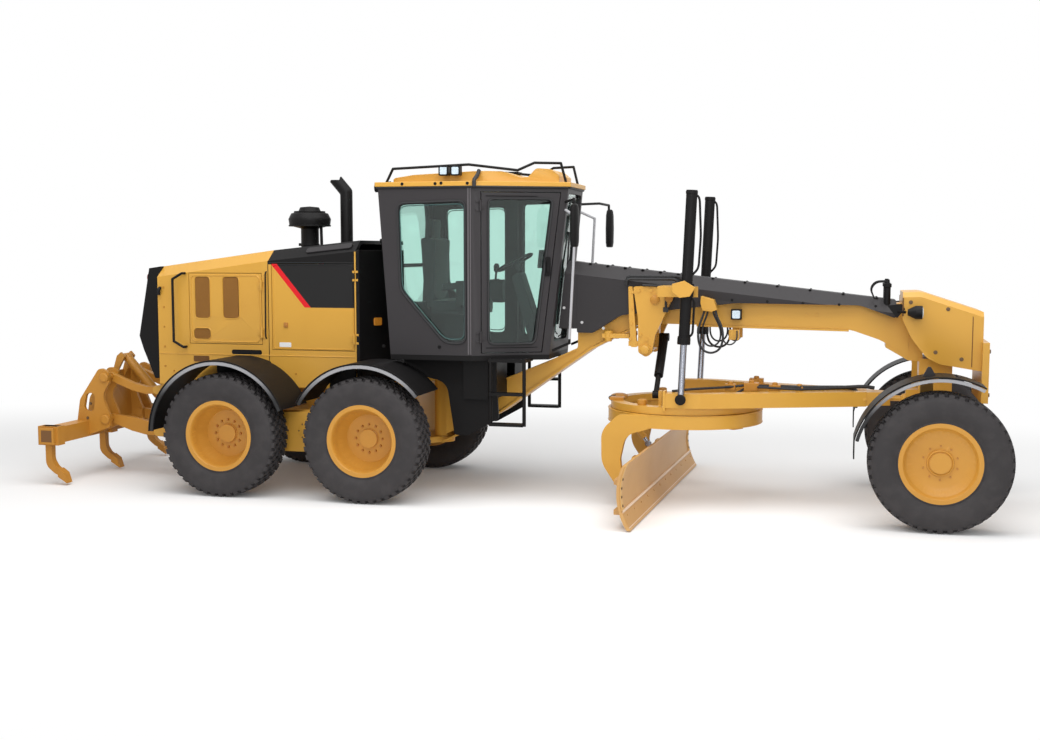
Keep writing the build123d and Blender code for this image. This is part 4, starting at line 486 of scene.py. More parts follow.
def hose(name, diameter, route, body):
    """A hanging hose along a smooth spline, of its real thickness."""
    data = bpy.data.curves.new(name, "CURVE")
    data.dimensions = "3D"
    data.bevel_depth, data.bevel_resolution, data.resolution_u = diameter / 2, 3, 8
    data.use_fill_caps = True
    spline = data.splines.new("NURBS")
    spline.points.add(len(route) - 1)
    for point, (x, y, z) in zip(spline.points, route):
        point.co = (x + STATION_SHIFT, y, z, 1)
    spline.order_u = 3
    spline.use_endpoint_u = True
    data.materials.append(hose_rubber.material)
    thing = bpy.data.objects.new(name, data)
    show(thing)
    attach(thing, body)
    x, y, z = route[0]
    x + STATION_SHIFT


for side_name, side in SIDES:
    for name, diameter, length, route in HOSES:
        across = [(x, -side * y, z) for x, y, z in route]
        hose(
            "hose_" + name + "_" + side_name, diameter, across,
            frame["nodes"]["saddle"]["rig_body"]
        )
print("hung", 2 * len(HOSES), "hoses")

# %% [markdown]
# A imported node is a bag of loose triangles. A copy whose doubles are merged and whose flat areas are
# dissolved can be bevelled, and a bevel of a few millimetres is what makes an edge catch the light.
# The copy stands for the node, which stays hidden behind it.

# %% Skins over the construction


def shade(data, angle=32):
    for polygon in data.polygons:
        polygon.use_smooth = True
    data.set_sharp_from_angle(angle=math.radians(angle))


def soften(thing, width, angle=38, segments=2):
    bevel = thing.modifiers.new("soft edges", "BEVEL")
    bevel.width, bevel.segments = width, segments
    bevel.limit_method, bevel.angle_limit = "ANGLE", math.radians(angle)
    bevel.harden_normals = True
    bevel.use_clamp_overlap = True


def in_mirror(point):
    """Whether a point is on one of the two mirror heads, which are made again as rounded shells."""
    ahead = -3.36 < point.x - STATION_SHIFT < -3.28
    return ahead and 0.82 < abs(point.y) < 1.01 and 2.49 < point.z < 2.915


def skin(node, finish, width=0.004):
    """A softened copy of a node, in a finish, standing for it on its own body."""
    source = frame["nodes"][node]
    work = bmesh.new()
    work.from_mesh(source.data)
    bmesh.ops.remove_doubles(work, verts=work.verts, dist=2e-5)
    if node == "cab_fittings":
        heads = [face for face in work.faces if all(in_mirror(vert.co) for vert in face.verts)]
        bmesh.ops.delete(work, geom=heads, context="FACES")
    bmesh.ops.dissolve_limit(work, angle_limit=math.radians(0.6), verts=work.verts, edges=work.edges)
    data = bpy.data.meshes.new("skin_" + node)
    work.to_mesh(data)
    work.free()
    shade(data)
    data.materials.clear()
    data.materials.append(finish.material)
    thing = bpy.data.objects.new("skin_" + node, data)
    show(thing)
    if width:
        soften(thing, width)
    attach(thing, source["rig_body"])
    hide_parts(node)
    return thing


SKINS = (
    (yellow, 0.006, ("rear_frame", "front_frame", "saddle", "front_axle", "cab_roof", "drawbar")),
    (yellow, 0.004, ("circle", "blade_carrier", "tip_barrel")),
    (hood_paint, 0.006, ("hood_shell",)),
    (
        ripper_shade_yellow, 0.005,
        ("ripper_carriage", "ripper_barrel", "ripper_upper_links", "ripper_lower_links")
    ),
    (
        black, 0.005,
        ("hood_cap", "rear_grille", "stacks", "rear_fenders", "cab_base", "shift_barrel", "shift_rod")
    ),
    (fittings_paint, 0.002, ("cab_fittings",)),
    (grey, 0.006, ("cab_frame",)),
    (cover_grey, 0.012, ("frame_cover",)),
    (glass, 0, ("cab_windows",)),
    (seat_plastic, 0.02, ("cab_interior",)),
    (engine_grey, 0.01, ("engine_block",)),
    (blade_paint, 0.004, ("moldboard",)),
    (chrome, 0.001, ("ripper_rod", "tip_rod")),
)
SIDE_SKINS = (
    (yellow, 0.004, "vent_door"),
    (service_paint, 0.004, "service_door"),
    (yellow, 0.004, "lean_yoke"),
    (yellow, 0.003, "steering_knuckle"),
    (black, 0.003, "front_fender"),
    (grey, 0.005, "cab_door"),
    (glass, 0, "cab_door_glass"),
    (black, 0.003, "lift_barrel"),
    (chrome, 0.001, "lift_rod"),
    (rim_shade_yellow, 0, "rim_front"),
    (rim_shade_yellow, 0, "rim_middle"),
    (rim_shade_yellow, 0, "rim_rear"),
)
for finish, width, nodes in SKINS:
    for node in nodes:
        skin(node, finish, width)
for finish, width, name in SIDE_SKINS:
    for side_name, side in SIDES:
        skin(name + "_" + side_name, finish, width)

# %% [markdown]
# Most trim on a machine is bent from the same few things: flat plates, round tubes and turned parts.
# One small class gathers such forms into a mesh, in stations along the machine, so that a piece reads
# as a short list of sizes. A right-hand form can be copied to the left by turning its faces about.

# %% Forms


def bent(path, turn, steps=5):
    """The path with each corner taken round a curve that starts a turn before it."""
    path = [Vector(p) for p in path]
    result = [path[0]]
    for before, corner, after in zip(path, path[1:], path[2:]):
        start = corner + (before - corner).normalized() * min(turn, (before - corner).length * 0.45)
        end = corner + (after - corner).normalized() * min(turn, (after - corner).length * 0.45)
        for step in range(steps + 1):
            t = step / steps
            result.append(start * (1 - t) ** 2 + corner * 2 * t * (1 - t) + end * t**2)
    return result + [path[-1]]


class Form:
    """A mesh gathered from plates, tubes and turned parts."""

    def __init__(self):
        self.work = bmesh.new()

    def rings(self, rings, closed=False):
        """Faces between rings of equal length, with its two ends capped unless it closes on itself."""
        rows = [[self.work.verts.new(p) for p in ring] for ring in rings]
        pairs = list(zip(rows, rows[1:])) + ([(rows[-1], rows[0])] if closed else [])
        for low, high in pairs:
            for i, corner in enumerate(low):
                j = (i + 1) % len(low)
                self.work.faces.new((corner, low[j], high[j], high[i]))
        if not closed:
            self.work.faces.new(rows[0][::-1])
            self.work.faces.new(rows[-1])
        return self

    def slab(self, corner, opposite):
        (x0, x1), (y0, y1), (z0, z1) = (sorted(pair) for pair in zip(corner, opposite))
        return self.rings([[(x0, y0, z), (x1, y0, z), (x1, y1, z), (x0, y1, z)] for z in (z0, z1)])

    def prism(self, points, y0, y1):
        return self.rings([[(x, y, z) for x, z in points] for y in (y0, y1)])

    def tube(self, path, radius, sides=10, turn=0.0, closed=False):
        path = bent(path, turn) if turn else [Vector(p) for p in path]
        ways = [(b - a).normalized() for a, b in zip(path, path[1:])]
        if closed:
            ways.append((path[0] - path[-1]).normalized())
            tangents = [(ways[i - 1] + way).normalized() for i, way in enumerate(ways)]
        else:
            inner = [(a + b).normalized() for a, b in zip(ways, ways[1:])]
            tangents = [ways[0]] + inner + [ways[-1]]
        normal = tangents[0].orthogonal().normalized()
        rings = []
        for point, way in zip(path, tangents):
            normal = (normal - way * normal.dot(way)).normalized()
            other = way.cross(normal)
            turns = [TAU * i / sides for i in range(sides)]
            rings.append([point + (normal * math.cos(t) + other * math.sin(t)) * radius for t in turns])
        return self.rings(rings, closed)

    def turned(self, base, way, profile, sides=24):
        """A turned part: profile rows are a distance along the way from base, and a radius there."""
        base, way = Vector(base), Vector(way).normalized()
        normal = way.orthogonal().normalized()
        other = way.cross(normal)
        turns = [TAU * i / sides for i in range(sides)]
        rings = []
        for along, radius in profile:
            centre = base + way * along
            rings.append([centre + (normal * math.cos(t) + other * math.sin(t)) * radius for t in turns])
        return self.rings(rings)

    def plate(self, centre, along, up, size, thick, corner=0.0):
        """A plate with rounded corners, its back at centre, facing along x up."""
        centre, along = Vector(centre), Vector(along).normalized()
        facing = along.cross(Vector(up)).normalized()
        up = facing.cross(along)
        half_u, half_v = size[0] / 2 - corner, size[1] / 2 - corner
        steps = 5 if corner else 1
        points = []
        for quarter, (u, v) in enumerate(((1, 1), (-1, 1), (-1, -1), (1, -1))):
            for step in range(steps):
                t = math.pi / 2 * (quarter + (step / (steps - 1) if corner else 0.5))
                reach = corner if corner else 0
                points.append((u * half_u + reach * math.cos(t), v * half_v + reach * math.sin(t)))
        return self.rings(
            [[centre + along * u + up * v + facing * d for u, v in points] for d in (0, thick)]
        )

    def absorb(self, data, place=None):
        """Take in a finished mesh, moved by a matrix."""
        part = bmesh.new()
        part.from_mesh(data)
        if place:
            bmesh.ops.transform(part, matrix=place, verts=part.verts)
        rows = {v.index: self.work.verts.new(v.co) for v in part.verts}
        for face in part.faces:
            self.work.faces.new([rows[v.index] for v in face.verts])
        part.free()
        return self

    def both(self):
        """Add the same forms on the machine's left."""
        part = bpy.data.meshes.new("half")
        self.work.to_mesh(part)
        turned_about = Matrix.Scale(-1, 4, (0, 1, 0))
        self.absorb(part, turned_about)
        bpy.data.meshes.remove(part)
        return self


def body_of(node):
    return frame["nodes"][node]["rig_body"]


def piece(name, form, finish, body, width=0.0, angle=38):
    """Finish a form as a piece of its own, riding on a body."""
    bmesh.ops.recalc_face_normals(form.work, faces=form.work.faces)
    bmesh.ops.translate(form.work, verts=form.work.verts, vec=(STATION_SHIFT, 0, 0))
    data = bpy.data.meshes.new(name)
    form.work.to_mesh(data)
    form.work.free()
    shade(data)
    data.materials.append(finish.material)
    thing = bpy.data.objects.new(name, data)
    show(thing)
    if width:
        soften(thing, width, angle)
    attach(thing, body)
    return thing


# %% [markdown]
# Bolts, tread blocks and slats repeat, so Geometry Nodes set them out: a bolt head is made once and
# stands on every point of a list, turned to face the way that its surface does. The copies are made
# real at the end, because an export keeps meshes and drops copies.

# %% Repeats by Geometry Nodes


class Tree:
    """A Geometry Nodes tree with named number inputs, and the mesh that it gives."""

    def __init__(self, name, **sizes):
        self.group = bpy.data.node_groups.new(name, "GeometryNodeTree")
        face = self.group.interface
        face.new_socket("Geometry", in_out="INPUT", socket_type="NodeSocketGeometry")
        self.keys = {}
        for key, value in sizes.items():
            kind = "NodeSocketInt" if isinstance(value, int) else "NodeSocketFloat"
            self.keys[key] = face.new_socket(key, in_out="INPUT", socket_type=kind).identifier
        face.new_socket("Geometry", in_out="OUTPUT", socket_type="NodeSocketGeometry")
        self.source = self.group.nodes.new("NodeGroupInput")
        self.sizes = sizes

    def add(self, kind, settings=None, **inputs):
        made = self.group.nodes.new(kind)
        for key, value in (settings or {}).items():
            setattr(made, key, value)
        for key, value in inputs.items():
            socket = made.inputs[key.replace("_", " ")]
            if hasattr(value, "links"):
                self.group.links.new(value, socket)
            else:
                socket.default_value = value
        return made

    def end(self, geometry):
        real = self.add("GeometryNodeRealizeInstances", Geometry=geometry)
        output = self.group.nodes.new("NodeGroupOutput")
        self.finish = self.add("GeometryNodeSetMaterial", Geometry=real.outputs[0])
        self.group.links.new(self.finish.outputs[0], output.inputs[0])

    def grow(self, data):
        """Run the tree on a mesh and return the mesh that comes out."""
        thing = bpy.data.objects.new("grown", data)
        show(thing)
        modifier = thing.modifiers.new("tree", "NODES")
        modifier.node_group = self.group
        for key, value in self.sizes.items():
            modifier[self.keys[key]] = value
        graph = bpy.context.evaluated_depsgraph_get()
        result = bpy.data.meshes.new_from_object(thing.evaluated_get(graph), depsgraph=graph)
        thing.modifiers.clear()
        bpy.data.objects.remove(thing)
        return result


def bolt_tree():
    """Stand a six-sided head on a washer at every point, facing the way that the point's surface does."""
    tree = Tree("bolt heads", Radius=1.0, Height=0.7, Washer=1.45)
    into = tree.source.outputs
    half = tree.add("ShaderNodeMath", {"operation": "MULTIPLY"})
    tree.group.links.new(into["Height"], half.inputs[0])
    half.inputs[1].default_value = 0.5
    lift = tree.add("ShaderNodeCombineXYZ", Z=half.outputs[0])
    head = tree.add("GeometryNodeMeshCylinder", Vertices=6, Radius=into["Radius"], Depth=into["Height"])
    head = tree.add("GeometryNodeTransform", Geometry=head.outputs[0], Translation=lift.outputs[0])
    washer = tree.add("GeometryNodeMeshCylinder", Vertices=12, Radius=into["Washer"], Depth=0.3)
    both = tree.group.nodes.new("GeometryNodeJoinGeometry")
    for part in (head, washer):
        tree.group.links.new(part.outputs[0], both.inputs[0])
    facing = tree.add("GeometryNodeInputNamedAttribute", {"data_type": "FLOAT_VECTOR"}, Name="facing")
    size = tree.add("GeometryNodeInputNamedAttribute", {"data_type": "FLOAT"}, Name="size")
    turn = tree.add("FunctionNodeAlignRotationToVector", {"axis": "Z"}, Vector=facing.outputs[0])
    stood = tree.add(
        "GeometryNodeInstanceOnPoints",
        Points=into["Geometry"],
        Instance=both.outputs[0],
        Rotation=turn.outputs[0],
        Scale=size.outputs[0],
    )
    tree.end(stood.outputs[0])
    return tree


def ring_tree(count):
    """Set copies of a mesh at equal turns about the Y axis."""
    tree = Tree("ring of copies", Count=count)
    into = tree.source.outputs
    line = tree.add("GeometryNodeMeshLine", Count=into["Count"])
    line.inputs["Offset"].default_value = (0, 0, 0)
    index = tree.add("GeometryNodeInputIndex")
    share = tree.add("ShaderNodeMath", {"operation": "DIVIDE"})
    tree.group.links.new(index.outputs[0], share.inputs[0])
    tree.group.links.new(into["Count"], share.inputs[1])
    angle = tree.add("ShaderNodeMath", {"operation": "MULTIPLY"})
    tree.group.links.new(share.outputs[0], angle.inputs[0])
    angle.inputs[1].default_value = TAU
    turn = tree.add("ShaderNodeCombineXYZ", Y=angle.outputs[0])
    stood = tree.add(
        "GeometryNodeInstanceOnPoints",
        Points=line.outputs[0],
        Instance=into["Geometry"],
        Rotation=turn.outputs[0],
    )
    tree.end(stood.outputs[0])
    return tree


def ring_of(form, count):
    """The mesh of a form repeated about the Y axis."""
    data = bpy.data.meshes.new("one")
    bmesh.ops.recalc_face_normals(form.work, faces=form.work.faces)
    form.work.to_mesh(data)
    form.work.free()
    return ring_tree(count).grow(data)


BOLTS = bolt_tree()


def bolts(name, rows, finish, body, both=False):
    """Bolt heads along rows: first and last place, how many, the way they face, and their radius."""
    places, ways, radii = [], [], []
    for start, end, count, facing, radius in rows:
        start, end = Vector(start), Vector(end)
        for i in range(count):
            point = start.lerp(end, i / (count - 1) if count > 1 else 0)
            for side in (1, -1) if both else (1,):
                places.append((point.x, point.y * side, point.z))
                ways.append((facing[0], facing[1] * side, facing[2]))
                radii.append(radius)
    data = bpy.data.meshes.new("places")
    data.from_pydata(places, [], [])
    data.attributes.new("facing", "FLOAT_VECTOR", "POINT").data.foreach_set(
        "vector", [n for w in ways for n in w]
    )
    data.attributes.new("size", "FLOAT", "POINT").data.foreach_set("value", radii)
    return piece(name, Form().absorb(BOLTS.grow(data)), finish, body)


# %% [markdown]
# A grader tyre carries slanted tread blocks in rows, cut deep at the shoulder, over a smooth sidewall
# with a fine rib near the rim. One pitch of blocks is drawn and repeated round the tyre. The block
# tops lie on the radius that the construction gives, so the machine still stands on them.

# %% Tyres
TYRE_R = 0.62
GROOVE_R = 0.594
TREAD_PITCHES = 44
CARCASS = (
    (0.344, -0.15), (0.352, -0.16), (0.366, -0.161), (0.372, -0.157), (0.38, -0.158), (0.4, -0.17),
    (0.43, -0.18), (0.47, -0.1855), (0.515, -0.184), (0.55, -0.178), (0.572, -0.17), (0.585, -0.16),
    (GROOVE_R, -0.14), (GROOVE_R + 0.003, 0.0),
)
# Each block of one pitch: its inner and outer edge across the tyre, and where along the pitch it
# starts and ends at each edge
BLOCKS = (
    (0.008, 0.06, 0.02, 0.6, 0.22, 0.8),
    (0.07, 0.118, 0.5, 1.06, 0.7, 1.26),
    (0.126, 0.158, 0.0, 0.62, 0.1, 0.68),
    (-0.008, -0.06, 0.52, 1.1, 0.72, 1.3),
    (-0.07, -0.118, 0.0, 0.56, 0.2, 0.76),
    (-0.126, -0.158, 0.5, 1.12, 0.6, 1.18),
)


def crown(y):
    """The radius of a block's top at a distance from the tyre's middle."""
    return TYRE_R - 0.01 * (abs(y) / 0.158) ** 3


def on_tread(radius, y, turn):
    angle = TAU * turn / TREAD_PITCHES
    return (radius * math.sin(angle), y, radius * math.cos(angle))


def tread_pitch():
    form = Form()
    for inner, outer, a0, a1, b0, b1 in BLOCKS:
        foot, top = [], []
        shoulder = abs(outer) > 0.15
        corners = ((inner, a0), (inner, a1), (outer, b1), (outer, b0))
        middle_y, middle_t = (inner + outer) / 2, (a0 + a1 + b0 + b1) / 4
        for y, t in corners:
            low = 0.56 if shoulder and y == outer else GROOVE_R - 0.006
            spread = 0.01 if shoulder and y == outer else 0.0
            foot.append(on_tread(low, y + math.copysign(spread, y), t))
            draw = 0.93
            top.append(
                on_tread(crown(y), middle_y + (y - middle_y) * draw, middle_t + (t - middle_t) * draw)
            )
        form.rings([foot, top])
    return form


def tyre_mesh():
    form = Form()
    section = [*CARCASS, *((r, -y) for r, y in CARCASS[-2::-1])]
    around = 96
    rings = []
    for i in range(around):
        angle = TAU * i / around
        rings.append([(r * math.sin(angle), y, r * math.cos(angle)) for r, y in section])
    form.rings(rings, closed=True)
    form.absorb(ring_of(tread_pitch(), TREAD_PITCHES))
    data = bpy.data.meshes.new("tyre")
    bmesh.ops.recalc_face_normals(form.work, faces=form.work.faces)
    form.work.to_mesh(data)
    form.work.free()
    return data


TYRE = tyre_mesh()
for wheel, station in WHEEL_STATIONS.items():
    for side_name, side in SIDES:
        node = "tyre_" + wheel + "_" + side_name
        place = Matrix.Translation((station, side * HALF_TRACK, AXLE_Z))
        thing = piece(
            "tread_" + wheel + "_" + side_name, Form().absorb(TYRE, place), rubber, body_of(node)
        )
        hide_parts(node)
print("tyre faces", len(TYRE.polygons))

# %% [markdown]
# The rims are pressed steel. The tandem wheels are dished deep with a ring of nuts, and the front
# wheels are shallow with a round hub cap. The nuts are again one head, repeated about the axle.

# %% Wheel nuts and hub caps
REAR_FACE_Y = 1.008
FRONT_FACE_Y = 1.162


def rear_wheel_trim(side):
    nut = Form().turned((0, 0, 0.138), (0, side, 0), ((0, 0.013), (0.012, 0.013), (0.02, 0.009)), 6)
    nuts = Form().absorb(ring_of(nut, 12))
    cap = Form().turned(
        (0, 0, 0), (0, side, 0), ((0, 0.098), (0.008, 0.096), (0.012, 0.088), (0.012, 0.02)), 36
    )
    return nuts, cap


def front_wheel_trim(side):
    profile = (
        (0, 0.118), (0.02, 0.114), (0.024, 0.106), (0.016, 0.098), (0.016, 0.09), (0.022, 0.07),
        (0.024, 0.01)
    )
    cap = Form().turned((0, 0, 0), (0, side, 0), profile, 40)
    nut = Form().turned((0, 0, 0.15), (0, side, 0), ((0, 0.01), (0.008, 0.009)), 6)
    return Form().absorb(ring_of(nut, 10)), cap


for wheel, station in WHEEL_STATIONS.items():
    for side_name, side in SIDES:
        trim, face = rear_wheel_trim, REAR_FACE_Y
        if wheel == "front":
            trim, face = front_wheel_trim, FRONT_FACE_Y
        nuts, cap = trim(side)
        body = body_of("rim_" + wheel + "_" + side_name)
        end = wheel + "_" + side_name
        move = Matrix.Translation((station, side * (face - 0.001), AXLE_Z))
        # The wheel nuts' brown is painted shade in the recess of the rim.
        for name, form, finish in (("wheel_nuts_", nuts, nut_brown), ("hub_cap_", cap, rim_shade_yellow)):
            bmesh.ops.transform(form.work, matrix=move, verts=form.work.verts)
            piece(name + end, form, finish, body)

# %% [markdown]
# The hood's sides carry most of the small things: framed vents with a brown mesh, a latch, a long
# black rod, a bent handle, blank labels, and rows of small bolts. The mesh is real wire in two
# directions, because a pattern of bumps would not show from the side.

# %% Hood details
HOOD_SIDE = 0.62
WALL_FACING = (0.92, -0.39, 0)
REAR_BODY = body_of("hood_shell")
HOOD_SEAM_X, HOOD_FRONT_X, HOOD_REAR_X = -6.6, -5.64, -7.87
VENT_DOOR = (-7.5, -6.68, 1.5, 2.23)
SERVICE_DOOR = (-6.56, -5.66, 1.45, 2.33)
VENTS = ((0.06, 0.24, 0.26, 0.7), (0.38, 0.57, 0.26, 0.7), (0.04, 0.24, 0.04, 0.16))
LOW_VENT = (-7.47, -7.28, 1.3, 1.372)


def hood_top(x):
    """The height of the hood's crown at a station."""
    if x < HOOD_SEAM_X:
        return 2.3 + 0.17 * (x - HOOD_REAR_X) / (HOOD_SEAM_X - HOOD_REAR_X)
    return 2.47 + 0.1 * (x - HOOD_SEAM_X) / (HOOD_FRONT_X - HOOD_SEAM_X)


def loop_round(x0, x1, z0, z1, y, corner):
    """A closed path round a panel on the machine's side."""
    points = []
    for cx, cz, first in ((x1, z1, 0), (x0, z1, 90), (x0, z0, 180), (x1, z0, 270)):
        inner_x = cx - math.copysign(corner, cx - (x0 + x1) / 2)
        inner_z = cz - math.copysign(corner, cz - (z0 + z1) / 2)
        for step in range(5):
            c, s = swing(first + 22.5 * step)
            points.append((inner_x + corner * c, y, inner_z + corner * s))
    return points


for side_name, side in SIDES:
    body = body_of("vent_door_" + side_name)
    y = side * HOOD_SIDE
    wires, backs, frames = Form(), Form(), Form()
    for rear, front, low, high in VENTS:
        x0, x1 = VENT_DOOR[0] + rear, VENT_DOOR[0] + front
        z0, z1 = VENT_DOOR[2] + low, VENT_DOOR[2] + high
        deep = y - side * 0.013
        backs.slab((x0 + 0.004, deep, z0 + 0.004), (x1 - 0.004, deep + side * 0.002, z1 - 0.004))
        frames.tube(loop_round(x0, x1, z0, z1, y, 0.04), 0.006, 6, closed=True)
        for i in range(1, int((x1 - x0) / 0.012)):
            x = x0 + 0.012 * i
            wires.slab((x - 0.002, min(deep, y), z0 + 0.01), (x + 0.002, max(deep, y) - 0.004, z1 - 0.01))
        for i in range(1, int((z1 - z0) / 0.012)):
            z = z0 + 0.012 * i
            wires.slab(
                (x0 + 0.01, min(deep, y) + 0.002, z - 0.002),
                (x1 - 0.01, max(deep, y) - 0.002, z + 0.002)
            )
    border = loop_round(
        VENT_DOOR[0] + 0.02, VENT_DOOR[1] - 0.02, VENT_DOOR[2] + 0.02, VENT_DOOR[3] - 0.02, y, 0.05
    )
    frames.tube(border, 0.007, 6, closed=True)
    low_vent = Form().tube(loop_round(*LOW_VENT, y, 0.02), 0.006, 6, closed=True)
    piece("low_vent_frame_" + side_name, low_vent, yellow, REAR_BODY)
    low_back = Form().slab((LOW_VENT[0], y, LOW_VENT[2]), (LOW_VENT[1], y + side * 0.002, LOW_VENT[3]))
    for i in range(1, 9):
        z = LOW_VENT[2] + 0.008 * i
        low_back.slab(
            (LOW_VENT[0] + 0.01, y, z - 0.002), (LOW_VENT[1] - 0.01, y + side * 0.005, z + 0.002)
        )
    piece("low_vent_slats_" + side_name, low_back, mesh_dark, REAR_BODY)
    piece("vent_wires_" + side_name, wires, mesh_brown, body)
    piece("vent_backs_" + side_name, backs, mesh_dark, body)
    piece("vent_frames_" + side_name, frames, yellow, body)

hood_trim, hood_black = Form(), Form()
side_y = -HOOD_SIDE
hood_black.tube(
    (
        (-6.622, side_y + 0.002, 2.25), (-6.622, side_y - 0.022, 2.235), (-6.63, side_y - 0.022, 1.58),
        (-6.63, side_y + 0.002, 1.56)
    ),
    0.008, 8, 0.02,
)
hood_black.slab((-6.606, side_y - 0.001, 1.11), (-6.597, side_y + 0.004, hood_top(HOOD_SEAM_X) - 0.11))
hood_black.plate((-6.855, side_y + 0.001, 1.415), (1, 0, 0), (0, 0, 1), (0.34, 0.05), 0.004, 0.02)
hood_trim.tube(((-7.86, side_y, 1.385), (-5.645, side_y, 1.385)), 0.006, 6)
hood_trim.slab((-5.652, side_y - 0.006, 1.11), (-5.636, side_y + 0.004, 2.455))
hood_black.slab((-5.634, side_y - 0.004, 1.11), (-5.6, side_y + 0.004, 2.455))
hood_black.tube(
    ((-7.84, side_y, 2.075), (-7.84, side_y - 0.03, 2.06), (-7.84, side_y - 0.03, 2.0)), 0.018, 8, 0.02
)
piece("hood_lips", hood_trim.both(), yellow, REAR_BODY, 0.002)
piece("hood_strips", hood_black.both(), black, REAR_BODY, 0.002)
for side_name, side in SIDES:
    body = body_of("service_door_" + side_name)
    latch = Form().plate(
        (-6.41, side * HOOD_SIDE, 1.704), (side * -1, 0, 0), (0, 0, 1), (0.045, 0.05), 0.012, 0.008
    )
    latch.turned(
        (-6.41, side * (HOOD_SIDE + 0.012), 1.704), (0, side, 0), ((0, 0.014), (0.006, 0.012)), 16
    )
    piece("door_latch_" + side_name, latch, nut_brown, body, 0.002)
    label = Form().plate(
        (-6.42, side * HOOD_SIDE, 1.5), (side * -1, 0, 0), (0, 0, 1), (0.13, 0.048), 0.002, 0.006
    )
    piece("door_label_" + side_name, label, label_white, body)
    edge = Form().tube(
        loop_round(
            SERVICE_DOOR[0] + 0.012, SERVICE_DOOR[1] - 0.012, SERVICE_DOOR[2] + 0.012,
            SERVICE_DOOR[3] - 0.012, side * HOOD_SIDE, 0.03
        ),
        0.005, 6, closed=True,
    )
    piece("door_edge_" + side_name, edge, service_paint, body)
bolts(
    "hood_bolts",
    (
        ((-7.8, -0.622, 1.25), (-7.8, -0.622, 2.08), 5, (0, -1, 0), 0.008),
        ((-7.7, -0.622, 1.2), (-5.75, -0.622, 1.2), 8, (0, -1, 0), 0.008),
    ),
    yellow_deep, REAR_BODY, both=True,
)
bolts(
    "hood_edge_bolts", (((-5.617, -0.626, 1.22), (-5.617, -0.626, 2.4), 8, (0, -1, 0), 0.01),), black,
    REAR_BODY, both=True
)

# %% [markdown]
# Over the hood stand the air cleaner with its clamped bowl, two filler caps, and a grey pad on the
# shoulder. Each is a turned or rounded form that sits a little into what carries it.

# %% Hood top
caps = Form()
for x, y, height in ((-5.5, -0.1, 0.13), (-5.47, 0.13, 0.11)):
    caps.turned(
        (x, y, 2.455), (0, 0, 1),
        (
            (0, 0.05), (height - 0.04, 0.05), (height - 0.038, 0.07), (height, 0.066),
            (height + 0.008, 0.04)
        ),
        28
    )
caps.tube(((-6.245, -0.05, 2.49), (-6.25, -0.05, 2.75)), 0.016, 12)
for z, radius in ((2.722, 0.218), (2.868, 0.16)):
    caps.turned((-6.4, 0, z), (0, 0, 1), ((0, radius + 0.006), (0.016, radius + 0.006)), 40)
caps.turned((-6.4, 0, 2.52), (0, 0, 1), ((0, 0.101), (0.02, 0.101)), 36)
caps.slab((-6.52, -0.03, 2.515), (-6.49, 0.03, 2.545))
piece("hood_caps", caps, black, REAR_BODY, 0.003)
pad = Form()
for side in (-1, 1):
    across_way = Vector((0, side * 0.15, -0.11))
    along = Vector((1, 0, 0.104)) * (1 if side < 0 else -1)
    middle = Vector((-5.95, side * 0.545, hood_top(-5.95) - 0.055))
    pad.plate(middle - across_way.normalized() * 0.002, along, -across_way, (0.5, 0.085), 0.016, 0.025)
piece("shoulder_pads", pad, cover_grey, REAR_BODY, 0.004)
marker = Form()
for side in (-1, 1):
    along = Vector((0.39, side * -0.92, 0)) * -side
    marker.plate((-5.5, side * 0.384, 1.74), along, (0, 0, 1), (0.11, 0.08), 0.014, 0.012)
piece("amber_markers", marker, lens_amber, REAR_BODY, 0.003)
bolts(
    "wall_bolts",
    (
        ((-5.54, -0.479, 1.93), (-5.54, -0.479, 2.33), 3, WALL_FACING, 0.01),
        ((-5.44, -0.244, 1.25), (-5.44, -0.244, 2.35), 5, WALL_FACING, 0.008),
    ),
    black, REAR_BODY, both=True,
)

# %% [markdown]
# A fender is a black strip whose outer edge is rolled over into a lip, painted satin grey over the top
# of its arc as a highlight. The lip follows the strip's arc, so it is made as a ring of short sections
# about the wheel's axle.

# %% Fender lips and brackets


def arc_band(form, x, r0, r1, y0, y1, start, end):
    """A band about an axle, from one radius to another, between two angles counted up from forward."""
    steps = max(4, int(abs(end - start) / 5))
    rings = []
    for i in range(steps + 1):
        c, s = swing(start + (end - start) * i / steps)
        rings.append(
            [(x + r * c, y, AXLE_Z + r * s) for r, y in ((r0, y0), (r1, y0), (r1, y1), (r0, y1))]
        )
    return form.rings(rings)


for side_name, side in SIDES:
    rear_lips, front_lip, front_plate = Form(), Form(), Form()
    for x, start, end in ((-6.8845, 22, 178), (-5.3615, 38, 152)):
        arc_band(rear_lips, x, 0.712, 0.746, side * 1.236, side * 1.26, start, end)
    arc_band(front_lip, 0.0, 0.716, 0.746, side * 1.238, side * 1.26, 62, 166)
    piece("rear_lips_" + side_name, rear_lips, lip_highlight, body_of("rear_fenders"), 0.004)
    piece("front_lip_" + side_name, front_lip, lip_highlight, body_of("front_fender_" + side_name), 0.004)
    front_plate.prism(
        ((-0.165, 1.362), (-0.045, 1.365), (-0.095, 1.45), (-0.12, 1.45)), side * 1.03, side * 1.06
    )
    front_plate.slab((-0.03, side * 0.96, 1.352), (0.15, side * 1.15, 1.376))
    piece(
        "front_fender_plates_" + side_name, front_plate, cover_grey,
        body_of("front_fender_" + side_name), 0.003
    )
    rows = [((0.0, side * y, 1.376), (0.12, side * y, 1.376), 2, (0, 0, 1), 0.01) for y in (0.99, 1.12)]
    bolts("front_fender_bolts_" + side_name, rows, black, body_of("front_fender_" + side_name))

# %% [markdown]
# The cab is the part that a driver touches: every pane sits in a black rubber gasket, the door has a
# latch, and a gutter runs round the roof. Gaskets are tubes along the openings' outlines, with the
# corners taken round. The mirrors' heads are shells through a stack of rings, fuller in the middle.

